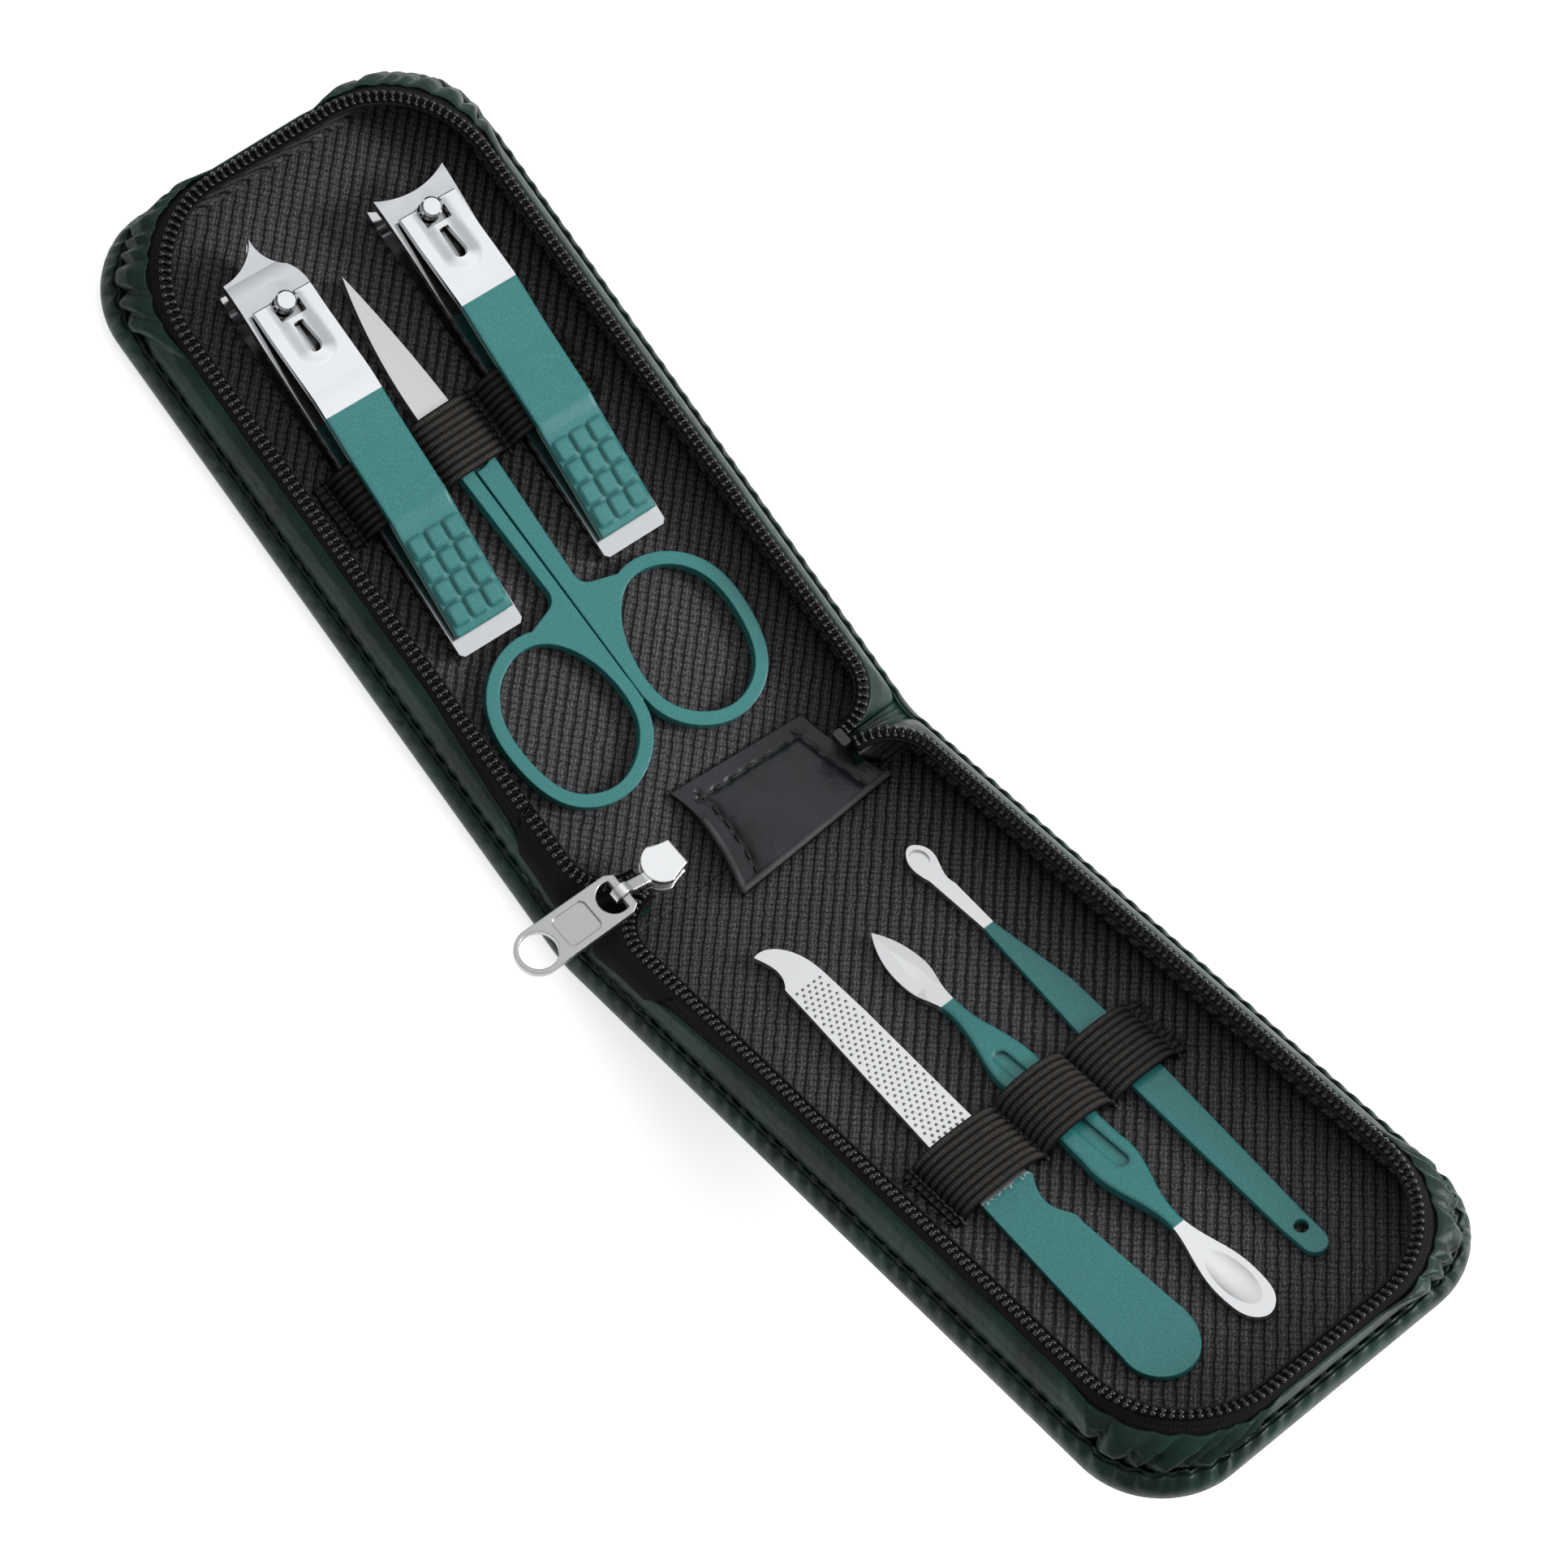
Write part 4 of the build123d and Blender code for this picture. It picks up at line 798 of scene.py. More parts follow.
def pushed(flat, amounts):
    """Move outline points along their own outward normals."""
    moved = []
    for k, (x, y) in enumerate(flat):
        px, py = flat[max(k - 1, 0)]
        qx, qy = flat[min(k + 1, len(flat) - 1)]
        size = hypot(qx - px, qy - py) or 1.0
        moved.append((x + amounts[k] * (qy - py) / size, y - amounts[k] * (qx - px) / size))
    return moved


print("deepest crease", {half: round(float(-g.min()), 2) for half, g in GATHERS.items()})

# %% [markdown]
# ## Waves of the seam
# The rolled edge is sewn through with a stitch about every 2.8 mm. Each stitch pulls the edge
# down and in, and it rises between two stitches. A cosine along the edge gives that wave, and a
# random pull for each stitch keeps it from looking like a machine-made frill. The same numbers
# place the real stitches later, so every thread lies in its own dip.

# %% Seam waves
half_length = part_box("outer_cover_a")[1].y / MM
half_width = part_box("outer_cover_a")[1].x / MM
STITCH_PITCH = 2.8
seam_line = outline(half_width - 1.98, half_length - 1.56, 12.7, 0.02, 0.0, 20.0)
seam_along = np.array(steps([(x, y, 0.0) for x, y in seam_line]))
seam_part = slice(SIDE_START, OUTLINE_COUNT - SIDE_START)
seam_length = seam_along[seam_part][-1] - seam_along[seam_part][0]
STITCHES = round(seam_length / STITCH_PITCH)
stitch_turns = (seam_along - seam_along[SIDE_START]) * STITCHES / seam_length
seam_wave = -np.cos(2 * pi * stitch_turns)
stitch_pull = np.random.default_rng(3).uniform(0.5, 1.2, STITCHES + 19)
seam_wave = seam_wave * np.interp(stitch_turns, np.arange(-9, STITCHES + 10), stitch_pull)
print("stitches on each seam:", STITCHES, "at", round(seam_length / STITCHES, 2), "mm")

# %% [markdown]
# ## Leather cover
# The section of the case's wall goes from the underside, round the bulge of the padded edge, over
# the sewn and rolled rim, and back down inside. It could be drawn as a curve. A table of levels
# says the same in numbers, and each level can also say how much of the pleats and of the seam's
# waves it takes: nothing at the bottom, most at the rim.

# %% Levels of the cover
cover_levels = [
    # height, in from the bulge at the sides and at the far end, far corner radius, gathers, waves
    (0.00, 1.60, 1.45, 12.8, 0.0, 0.0),
    (0.08, 1.20, 1.05, 13.0, 0.0, 0.0),
    (0.80, 0.40, 0.35, 13.3, 0.0, 0.0),
    (1.60, 0.08, 0.08, 13.4, 0.0, 0.0),
    (2.60, 0.02, 0.02, 13.4, 0.1, 0.0),
    (3.20, 0.12, 0.10, 13.4, 0.3, 0.03),
    (3.80, 0.36, 0.26, 13.3, 0.5, 0.09),
    (4.30, 0.76, 0.50, 13.2, 0.7, 0.16),
    (4.58, 1.06, 0.72, 13.1, 0.7, 0.20),
    (4.52, 1.26, 0.90, 13.0, 0.7, 0.10),
    (4.10, 1.38, 1.02, 12.9, 0.7, 0.04),
    (4.55, 1.50, 1.14, 12.9, 0.7, 0.10),
    (4.74, 1.70, 1.30, 12.8, 0.7, 0.18),
    (4.50, 1.92, 1.48, 12.7, 0.5, 0.10),
    (3.70, 2.00, 1.56, 12.6, 0.3, 0.0),
    (2.20, 1.60, 1.40, 12.5, 0.0, 0.0),
    (0.90, 1.60, 1.40, 12.5, 0.0, 0.0),
]
print("rim of the cover", max(level[0] for level in cover_levels), "mm above the table")

# %% [markdown]
# One sheet of leather is folded up round both boards and crosses the fold as the spine. Two
# separate shells would be easier, but would gape at the fold as the case closes. So each level is
# one closed loop round the whole case: up one side of half A, round its far end, down the other
# side, in a fan across the fold, and the same round half B. A skin through the loops is the cover.

# %% Loops of the cover
FAN = 24


def fan(start):
    """Points that carry one point of half A's edge round the fold line to half B's edge."""
    x, y, z = start
    arm = z - fold_height
    turns = [open_tilt * k / FAN for k in range(1, FAN)]
    return [(x, arm * sin(t), fold_height + arm * cos(t)) for t in turns]


def cover_loop(height, side_in, far_in, r_far, gathered, waved):
    """Closed loop round the whole case at one level of the cover."""
    sides = {}
    for half, place in HALVES.items():
        full = outline(half_width - side_in, half_length - far_in, r_far, 0.02, 0.0, 20.0)
        wave = waved * seam_wave[seam_part]
        flat = pushed(full[seam_part], gathered * GATHERS[half][seam_part] + 0.6 * wave)
        sides[half] = [place(x, y, height + w) for (x, y), w in zip(flat, wave)]
    left = fan(sides["a"][-1])
    right = [(-x, y, z) for x, y, z in reversed(left)]
    return sides["a"] + left + sides["b"][::-1] + right


loops = [cover_loop(*level) for level in cover_levels]
stations = len(loops[0])
cover = skin(
    "case_cover_leather", list(zip(*loops)), green_leather, round_section=False, round_path=True
)
print("stations round the case:", stations, "levels:", len(loops))

# %% [markdown]
# The skin is still open below and inside. Blender could fill the hole with one face, but that
# face would bridge the fold and tear when the case closes. So each half gets a flat face of its
# own, and a ladder of narrow strips crosses the fold between them.

# %% Floors of the cover
def fill_floor(piece, level):
    """Flat leather under each half and across the fold, at the first or the last level."""
    work = bmesh.new()
    work.from_mesh(piece.data)
    work.verts.ensure_lookup_table()
    spots = {tuple(round(c, 7) for c in v.co): v for v in work.verts}

    def at(index):
        point = Vector(loops[level][index % stations]) * MM
        key = tuple(round(c, 7) for c in point)
        return spots[key] if key in spots else min(work.verts, key=lambda v: (v.co - point).length)

    uv = work.loops.layers.uv["mm"]
    half_a = [at(k) for k in range(count_a)]
    half_b = [at(k) for k in range(count_a + FAN - 1, 2 * count_a + FAN - 1)]
    left = [at(k) for k in range(count_a - 1, count_a + FAN)]
    right = [at(-k) for k in range(FAN + 1)]
    made = [work.faces.new(half_a), work.faces.new(half_b)]
    for k in range(FAN):
        made.append(work.faces.new((left[k], left[k + 1], right[k + 1], right[k])))
    for face in made:
        for corner in face.loops:
            corner[uv].uv = (corner.vert.co.x / MM, corner.vert.co.y / MM)
    bmesh.ops.triangulate(work, faces=made[:2])
    bmesh.ops.recalc_face_normals(work, faces=work.faces)
    work.to_mesh(piece.data)
    work.free()


count_a = OUTLINE_COUNT - 2 * SIDE_START
for level in (0, len(cover_levels) - 1):
    fill_floor(cover, level)
print("cover faces:", len(cover.data.polygons))

# %% [markdown]
# The case opens and closes, and one mesh can't ride on two halves. Here the cover only has its placement
# baked into its mesh, and it keeps the open pose in which it was built.


def bend_over_fold(piece):
    """Bake the piece's placement into its mesh."""
    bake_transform(piece)


bend_over_fold(cover)
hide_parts("outer_cover_a", "outer_cover_b")

# %% [markdown]
# ## Leather band
# Inside the sewn edge stands a band of the same leather that carries the zip and leans in toward
# it. Round the far corners it is gathered: the pleats start under the edge, puff outwards in the
# middle, lean to one side and run out flat below the zip. The band is given as levels from the
# bottom up and back down its inner side, and each level reads the pleats a little further along.

# %% Walls from levels
GATHER_FOOT = 4.4


def between(levels, parts):
    """More levels on straight lines between the given ones."""
    out = [levels[0]]
    for low, high in zip(levels, levels[1:]):
        for k in range(1, parts + 1):
            out.append(tuple(a + (b - a) * k / parts for a, b in zip(low, high)))
    return out


def wall(name, half, levels, material, mouth, amount=0.0, part=slice(0, OUTLINE_COUNT), wave=0.0, cap=None):
    """Closed wall of one half from levels of (height, half, far, r_far, r_near, near, gathers)."""
    rows = []
    for height, wide, far, r_far, r_near, near, gathered in levels:
        flat = outline(wide, far, r_far, r_near, near, mouth)
        low = wave * seam_wave * max(0.0, 1 - (height - GATHER_FOOT) / 1.4)
        lean = np.roll(GATHERS[half], round(LEAN[half] * (height - GATHER_FOOT)))
        puff = np.interp(height, (4.85, 6.0, 8.2, 9.0), (0.05, 0.9, 0.95, 0.45)) * PROUD * (1 + lean)
        flat = pushed(flat, amount * (gathered * lean + puff) + low)
        heights = [height] * len(flat) if cap is None else [min(height, c) for c in cap]
        rows.append([HALVES[half](x, y, h) for (x, y), h in zip(flat[part], heights[part])])
    return skin(name, list(zip(*rows)), material)


print("levels of a wall in four parts:", len(between([(0,), (1,), (2,)], 4)))

# %% [markdown]
# The near corner of the wall is the one place that has to bend: beside the slider only the soft tape crosses
# it. So the outline is split there into a long part, which rides on its half, and a short corner part.

# %% Band
band_outer = [
    (4.40, 29.62, 113.25, 12.5, 0.8, 0.3, 1.0),
    (4.85, 29.80, 113.35, 12.6, 0.8, 0.3, 1.0),
    (6.30, 29.52, 113.85, 13.4, 2.5, 0.3, 1.0),
    (7.90, 28.60, 113.95, 14.8, 5.5, 0.3, 0.45),
    (8.80, 27.75, 113.95, 16.1, 7.5, 0.3, 0.2),
    (9.00, 27.40, 113.75, 16.3, 7.6, 0.4, 0.1),
]
band_inner = [
    (8.85, 27.10, 113.40, 16.0, 7.2, 0.8, 0.0),
    (7.60, 27.70, 113.10, 14.0, 4.6, 1.1, 0.0),
    (4.80, 28.80, 112.40, 11.7, 0.7, 1.2, 0.0),
]
CORNER = SIDE_START + 24
corner_part = slice(OUTLINE_COUNT - CORNER - 1, OUTLINE_COUNT)
long_part = slice(0, OUTLINE_COUNT - CORNER)
# the leather is cut lower beside the slider, where only the soft tape can bend
leather_top = np.full(OUTLINE_COUNT, 9.1)
leather_top[-120:] = np.interp(np.arange(120), (0, 60, 90, 120), (9.1, 7.9, 6.4, 6.4))
for half, body in HALF_BODY.items():
    band = wall(
        f"side_band_leather_{half}", half, between(band_outer, 4) + between(band_inner, 2),
        green_leather, 18.6, amount=1.05, wave=0.1, cap=leather_top,
    )
    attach(band, body)
    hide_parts(f"side_band_{half}")
    print(band.name, len(band.data.polygons), "faces")

# %% [markdown]
# ## Lining
# The cloth is glued to the board and turned up against the inside of the band, so floor and
# wall are one bowl of cloth. The wall is a thin closed skin from the floor's edge up to the zip
# and back down behind, with the same outline as the band around it.

# %% Wall lining
lining_levels = (
    # height, half, far, r_far, r_near, near
    (2.20, 27.4, 111.0, 10.4, 0.5, 2.2),
    (2.30, 27.9, 111.5, 10.8, 0.5, 1.9),
    (2.80, 28.1, 111.7, 11.0, 0.5, 1.9),
    (4.80, 28.1, 111.7, 11.0, 0.5, 1.9),
    (7.90, 26.8, 112.2, 13.1, 3.8, 2.0),
    (9.20, 25.6, 112.1, 15.1, 6.9, 2.0),
    (9.20, 26.1, 112.6, 15.6, 7.4, 1.5),
    (7.90, 27.3, 112.7, 13.6, 4.3, 1.5),
    (4.80, 28.6, 112.2, 11.5, 0.6, 1.4),
    (1.82, 28.5, 112.0, 11.3, 0.6, 1.4),
)
for half, body in HALF_BODY.items():
    rings = []
    for height, *sizes in lining_levels:
        flat = outline(*sizes, 18.5 if height > 6 else 22.6)
        rings.append([HALVES[half](x, y, height) for x, y in flat[long_part]])
    cloth = skin(f"wall_lining_cloth_{half}", list(zip(*rings)), lining_cloth)
    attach(cloth, body)
    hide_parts(f"wall_lining_{half}")
    print(cloth.name, len(cloth.data.polygons), "faces")

# %% [markdown]
# The floor's cloth is a flat grid with the outline of the tray. A plane with a cloth material
# would look the same from above, but a sheet needs a thickness where its edge shows. A Solidify
# modifier gives the grid 0.35 mm, the thickness of lining cloth, and the weave runs on straight
# because the UV map is simply the place on the floor.

# %% Floor lining
def cloth_grid(name, rows, offset):
    """Lining cloth from rows of ((u, v), place) pairs; u and v are its UV map in millimetres."""
    wide = len(rows[0])
    flats = [flat for row in rows for flat, place in row]
    corners = [i * wide + j for i in range(len(rows) - 1) for j in range(wide - 1)]
    faces = [(k, k + wide, k + wide + 1, k + 1) for k in corners]
    uvs = [[flats[k] for k in face] for face in faces]
    sheet = finish_mesh(name, [place for row in rows for flat, place in row], faces, uvs, lining_cloth)
    thick = sheet.modifiers.new("thickness", "SOLIDIFY")
    thick.thickness = 0.35 * MM
    thick.offset = offset
    return sheet


ACROSS_FLOOR = 24
for half, body in HALF_BODY.items():
    flat = outline(27.9, 111.5, 10.8, 0.6, 0.9, 20.0)
    mirror = 1 if half == "a" else -1
    rows = []
    for x, y in flat[4 : len(flat) // 2 + 1 : 3]:
        line = [x - 2 * x * k / ACROSS_FLOOR for k in range(ACROSS_FLOOR + 1)][::mirror]
        rows.append([((u, mirror * y), HALVES[half](u, y, 2.2)) for u in line])
    floor_cloth = cloth_grid(f"floor_lining_cloth_{half}", rows, -1.0)
    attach(floor_cloth, body)
    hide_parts(f"floor_lining_{half}")
    print(floor_cloth.name, len(floor_cloth.data.polygons), "faces")

# %% [markdown]
# ## Zip tape
# The tape is a woven strip sewn under the band, and its free edge is a folded bead that the teeth sit on. It
# is a wall like the band, with its own levels: up behind the band, over the top to the teeth, and back below.
# At the corner beside the slider nothing but the tape holds the two halves together, so there it reaches
# further down.

# %% Levels of the tape
rim_half = 26.0
rim_far = 112.5
tape_levels = [
    (7.60, 28.30, 113.60, 14.4, 5.0, 0.5, 0.0),
    (8.30, 27.90, 113.60, 15.3, 6.4, 0.4, 0.0),
    (8.90, 27.30, 113.50, 16.3, 7.8, 0.4, 0.0),
    (9.35, 26.95, 113.30, 16.6, 8.2, 0.4, 0.0),
    (9.66, 26.60, 113.10, 16.8, 8.0, 0.6, 0.0),
    (9.78, 25.90, 112.40, 16.0, 7.3, 1.1, 0.0),
    (9.66, 24.98, 111.35, 15.0, 6.2, 2.3, 0.0),
    (9.30, 24.90, 111.25, 14.9, 6.1, 2.4, 0.0),
    (9.05, 26.50, 112.70, 15.9, 7.4, 1.3, 0.0),
    (7.60, 27.90, 113.20, 13.9, 4.5, 1.0, 0.0),
]
BEAD = 0.24
bead_turns = [2 * pi * k / 8 for k in range(8)]
edge_levels = [
    (9.66 + BEAD * sin(t), 24.86 + BEAD * cos(t), 111.23 + BEAD * cos(t), 14.9, 6.1, 2.4, 0.0)
    for t in bead_turns
]
corner_levels = [
    (6.35, 29.42, 113.80, 13.4, 2.6, 0.3, 0.0),
    (7.20, 29.10, 113.90, 14.1, 4.1, 0.3, 0.0),
    (7.95, 28.62, 113.90, 14.9, 5.6, 0.3, 0.0),
    *tape_levels[2:],
    (6.35, 28.40, 112.60, 12.4, 2.0, 1.3, 0.0),
]
print("tape stands", max(level[0] for level in tape_levels), "mm above the table")

# %% [markdown]
# Four pieces are made for each half: the tape and its bead along the half, and the same two round the corner.
# The corner pieces only have their placement baked into their meshes.

# %% Tape
def bend_zip_corner(piece):
    """Bake the placement of a zip corner piece into its mesh."""
    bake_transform(piece)


for half, body in HALF_BODY.items():
    tape = wall(f"zip_tape_cloth_{half}", half, between(tape_levels, 2), zip_tape_cloth, 18.4, part=long_part)
    edge = wall(f"zip_tape_edge_{half}", half, edge_levels, zip_tape_cloth, 18.4, part=long_part)
    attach(tape, body)
    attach(edge, body)
    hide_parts(f"zip_tape_{half}")
    corner = wall(
        f"zip_corner_cloth_{half}", half, between(corner_levels, 2), zip_tape_cloth, 18.4,
        part=corner_part,
    )
    corner_edge = wall(
        f"zip_corner_edge_{half}", half, edge_levels, zip_tape_cloth, 18.4, part=corner_part
    )
    for piece in (corner, corner_edge):
        bend_zip_corner(piece)
        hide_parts(f"zip_end_{half}")
    print("tape pieces of half", half, [len(p.data.polygons) for p in (tape, edge, corner, corner_edge)])

# %% [markdown]
# ## Rows of small things
# Zip teeth, stitches and the pits of the file are one small shape repeated many times. Copies
# could be placed by hand or by an Array modifier. Geometry Nodes do it best here: they read a
# path, space the points evenly round its corners, turn each copy with the path, and keep the
# sizes as named inputs. Every row ends in the same way, so that part is written once.

# %% Parts of a Geometry Nodes tree
def row_group(name, taken, sizes, made):
    """Group that takes a geometry, named sizes and a material, and gives one geometry."""
    tree = bpy.data.node_groups.new(name, "GeometryNodeTree")
    tree.interface.new_socket(name=taken, in_out="INPUT", socket_type="NodeSocketGeometry")
    for label, value in sizes.items():
        socket = tree.interface.new_socket(name=label, in_out="INPUT", socket_type="NodeSocketFloat")
        socket.default_value = value
    tree.interface.new_socket(name="Material", in_out="INPUT", socket_type="NodeSocketMaterial")
    tree.interface.new_socket(name=made, in_out="OUTPUT", socket_type="NodeSocketGeometry")
    return tree, add(tree, "NodeGroupInput").outputs


def along_path(tree, source):
    """Evenly spaced points on the path, and the turn that points a copy along it."""
    even = add(
        tree, "GeometryNodeResampleCurve", {"Curve": source["Path"], "Length": source["Pitch"]},
        mode="LENGTH",
    )
    tangent = add(tree, "GeometryNodeInputTangent")
    facing = add(
        tree, "FunctionNodeAlignRotationToVector", {"Vector": tangent}, axis="Z", pivot_axis="AUTO"
    )
    return even, facing


def stand_on(tree, source, points, item, rotation):
    """Stand a copy of an item on every point, make the copies real and give them the material."""
    copies = add(
        tree, "GeometryNodeInstanceOnPoints",
        {"Points": points, "Instance": item, "Rotation": rotation},
    )
    real = add(tree, "GeometryNodeRealizeInstances", {0: copies})
    smooth = add(tree, "GeometryNodeSetShadeSmooth", {0: real})
    painted = add(tree, "GeometryNodeSetMaterial", {"Geometry": smooth, "Material": source["Material"]})
    fill(tree, add(tree, "NodeGroupOutput"), {0: painted})
    return tree


print("node groups so far:", len(bpy.data.node_groups))

# %% [markdown]
# The teeth are one nylon wire wound into a coil. A true helix would need thousands of small
# steps. Seen from above, each turn is a small ring that stands across the tape with a thick bend
# at each end, so a turn is an oval of wire with two beads, and the tree repeats it at the pitch.

# %% Zip coil
def coil_group():
    """Rings across a path: inputs are the pitch, the ring's two radii, the wire and the bead."""
    sizes = {
        "Pitch": 1.15 * MM, "Half Width": 0.52 * MM, "Half Height": 0.22 * MM,
        "Wire Radius": 0.19 * MM, "Bead Radius": 0.42 * MM,
    }
    tree, source = row_group("zip_coil_turns", "Path", sizes, "Coil")
    even, facing = along_path(tree, source)
    ring = add(tree, "GeometryNodeCurvePrimitiveCircle", {"Resolution": 8, "Radius": 1.0})
    size = add(tree, "ShaderNodeCombineXYZ", {0: source["Half Width"], 1: source["Half Height"], 2: 1.0})
    oval = add(tree, "GeometryNodeTransform", {"Geometry": ring, "Scale": size})
    wire = add(
        tree, "GeometryNodeCurvePrimitiveCircle", {"Resolution": 5, "Radius": source["Wire Radius"]}
    )
    turn = add(tree, "GeometryNodeCurveToMesh", {"Curve": oval, "Profile Curve": wire})
    bead = add(
        tree, "GeometryNodeMeshUVSphere", {"Segments": 6, "Rings": 5, "Radius": source["Bead Radius"]}
    )
    tooth = add(tree, "GeometryNodeJoinGeometry", {0: turn})
    for way in (1.0, -1.0):
        reach = add(tree, "ShaderNodeMath", {0: source["Half Width"], 1: way}, operation="MULTIPLY")
        spot = add(tree, "ShaderNodeCombineXYZ", {0: reach})
        fill(tree, tooth, {0: add(tree, "GeometryNodeTransform", {"Geometry": bead, "Translation": spot})})
    up_axis = add(tree, "GeometryNodeInputNormal")
    rolled = add(
        tree, "FunctionNodeAlignRotationToVector", {"Rotation": facing, "Vector": up_axis},
        axis="X", pivot_axis="Z",
    )
    return stand_on(tree, source, even, tooth, rolled)


coil_nodes = coil_group()
print("coil tree has", len(coil_nodes.nodes), "nodes")

# %% [markdown]
# A stitch is the short piece of thread that shows between two needle holes: round, a little
# swollen in the middle, and sunk at both ends. A stretched ball is just that.

# %% Stitch
def stitch_group():
    """Short rounded threads along a path: inputs are the pitch, the length and the radius."""
    sizes = {"Pitch": STITCH_PITCH * MM, "Length": 1.9 * MM, "Radius": 0.22 * MM}
    tree, source = row_group("stitch_line", "Path", sizes, "Stitches")
    even, facing = along_path(tree, source)
    ball = add(tree, "GeometryNodeMeshUVSphere", {"Segments": 8, "Rings": 8, "Radius": 1.0})
    half_long = add(tree, "ShaderNodeMath", {0: source["Length"], 1: 0.5}, operation="MULTIPLY")
    size = add(tree, "ShaderNodeCombineXYZ", {0: source["Radius"], 1: source["Radius"], 2: half_long})
    stitch = add(tree, "GeometryNodeTransform", {"Geometry": ball, "Scale": size})
    return stand_on(tree, source, even, stitch, facing)


stitch_nodes = stitch_group()
print("stitch tree has", len(stitch_nodes.nodes), "nodes")

# %% [markdown]
# A tree works on an object, so each row starts as a path. When it has run, only the mesh is
# kept: a plain mesh can be bent with the case and sent to other programs, a live tree can't. The
# sizes are passed by each socket's identifier, because two sockets may carry the same name.

# %% Paths and grown pieces
def path_curve(name, points):
    """Poly curve through points in millimetres."""
    data = bpy.data.curves.new(name, "CURVE")
    data.dimensions = "3D"
    spline = data.splines.new("POLY")
    spline.points.add(len(points) - 1)
    for spot, (x, y, z) in zip(spline.points, points):
        spot.co = (x * MM, y * MM, z * MM, 1.0)
    return placed(name, data)


def grown(name, holder, tree, values):
    """Run a node tree on an object and keep the result as a plain mesh object."""
    modifier = holder.modifiers.new("nodes", "NODES")
    modifier.node_group = tree
    for item in tree.interface.items_tree:
        if item.item_type == "SOCKET" and item.in_out == "INPUT" and item.name in values:
            modifier[item.identifier] = values[item.name]
    bpy.context.view_layer.update()
    # the evaluated geometry has to stay in a name of its own while its mesh is read
    geometry = holder.evaluated_get(bpy.context.evaluated_depsgraph_get()).evaluated_geometry()
    kept = bpy.data.meshes.new(name)
    work = bmesh.new()
    work.from_mesh(geometry.mesh)
    bmesh.ops.recalc_face_normals(work, faces=work.faces)
    work.to_mesh(kept)
    work.free()
    kept.materials.append(values["Material"])
    bpy.data.objects.remove(holder)
    print(name, "has", len(kept.polygons), "faces")
    return placed(name, kept)


print("ready to grow rows from", [g.name for g in (coil_nodes, stitch_nodes)])

# %% [markdown]
# ## Teeth and seam
# The coil is nylon monofilament: a smooth, slightly see-through black plastic that the eye knows
# by the small hard glint on every turn. The sewing thread is twisted polyester, dull and nearly
# black. The seam's stitches use the same spacing as the waves of the edge. None is set at the
# very ends, where the two rows would meet as the case lies flat.

# %% Coils and seam stitches
nylon = new_material("nylon_monofilament_black", {
    "Base Color": colour("#161616"), "Roughness": 0.22, "Specular IOR Level": 0.5, "IOR": 1.53,
})[0]
thread = new_material("polyester_thread_black", {"Base Color": colour("#0B0E0D"), "Roughness": 0.6})[0]
COIL_HEIGHT = 10.0
zip_line = outline(rim_half - 0.1, rim_far - 0.1, 16.7, 7.5, 1.0, 19.2)
sewn_line = [p for p, t in zip(seam_line, stitch_turns) if 1.0 <= t <= STITCHES - 1.0]
seam_sizes = {"Pitch": seam_length / STITCHES * MM, "Length": 1.5 * MM, "Radius": 0.26 * MM}
for half, body in HALF_BODY.items():
    place = HALVES[half]
    path = path_curve(f"zip_line_{half}", [place(x, y, COIL_HEIGHT) for x, y in zip_line[long_part][5:]])
    coil = grown(f"zip_coil_turns_{half}", path, coil_nodes, {"Material": nylon})
    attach(coil, body)
    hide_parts(f"zip_coil_{half}")
    path = path_curve(
        f"zip_corner_line_{half}", [place(x, y, COIL_HEIGHT) for x, y in zip_line[corner_part]]
    )
    corner_coil = grown(f"zip_corner_turns_{half}", path, coil_nodes, {"Material": nylon})
    bend_zip_corner(corner_coil)
    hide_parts(f"zip_end_{half}")
    seam = path_curve(f"seam_path_{half}", [place(x, y, 4.5) for x, y in sewn_line])
    sewn = grown(f"seam_stitches_{half}", seam, stitch_nodes, {"Material": thread, **seam_sizes})
    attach(sewn, body)
paint("zip_end_stop", nylon)

# %% [markdown]
# ## Fold
# Where the case folds, the spine's leather turns up at both ends and closes the gap beside the
# zip, like the gusset of a purse. It is a strip swept round the fold line, with soft puckers. On
# the right it is leather all the way; on the left the upper part is the end of the zip tape.

# %% Gussets beside the zip ends
gusset_line = [(29.9, 4.3), (28.8, 5.0), (27.0, 6.4), (25.2, 7.2), (23.1, 8.0), (21.0, 8.7), (19.0, 9.25)]


def turned(x, z, t):
    """Place of a section point of the spine, turned about the fold line by part of the tilt."""
    arm = z - fold_height
    return (x, arm * sin(open_tilt * t), fold_height + arm * cos(open_tilt * t))


for name, sign, line, finish in (
    ("spine_gusset_leather_right", 1, gusset_line, green_leather),
    ("spine_gusset_leather_left", -1, gusset_line[:4], green_leather),
    ("spine_gusset_tape_left", -1, gusset_line[3:], zip_tape_cloth),
):
    sections = []
    for k in range(2 * FAN + 1):
        t = -0.12 + 1.24 * k / (2 * FAN)
        pucker = 0.22 * cos(6 * pi * t)
        outer = [(sign * x, z + pucker * (i % 2)) for i, (x, z) in enumerate(line)]
        inner = [(sign * (x - 0.5), z - 0.75) for x, z in reversed(line)]
        sections.append([turned(x, z, t) for x, z in outer + inner])
    gusset = skin(name, sections, finish)
    bend_over_fold(gusset)
    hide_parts("spine")
    print(name, len(gusset.data.polygons), "faces")

# %% [markdown]
# The lining runs on across the fold, from one floor to the other. It is the same sheet of cloth
# as the floors, bent round the fold line, so it uses the same grid and the same weave.

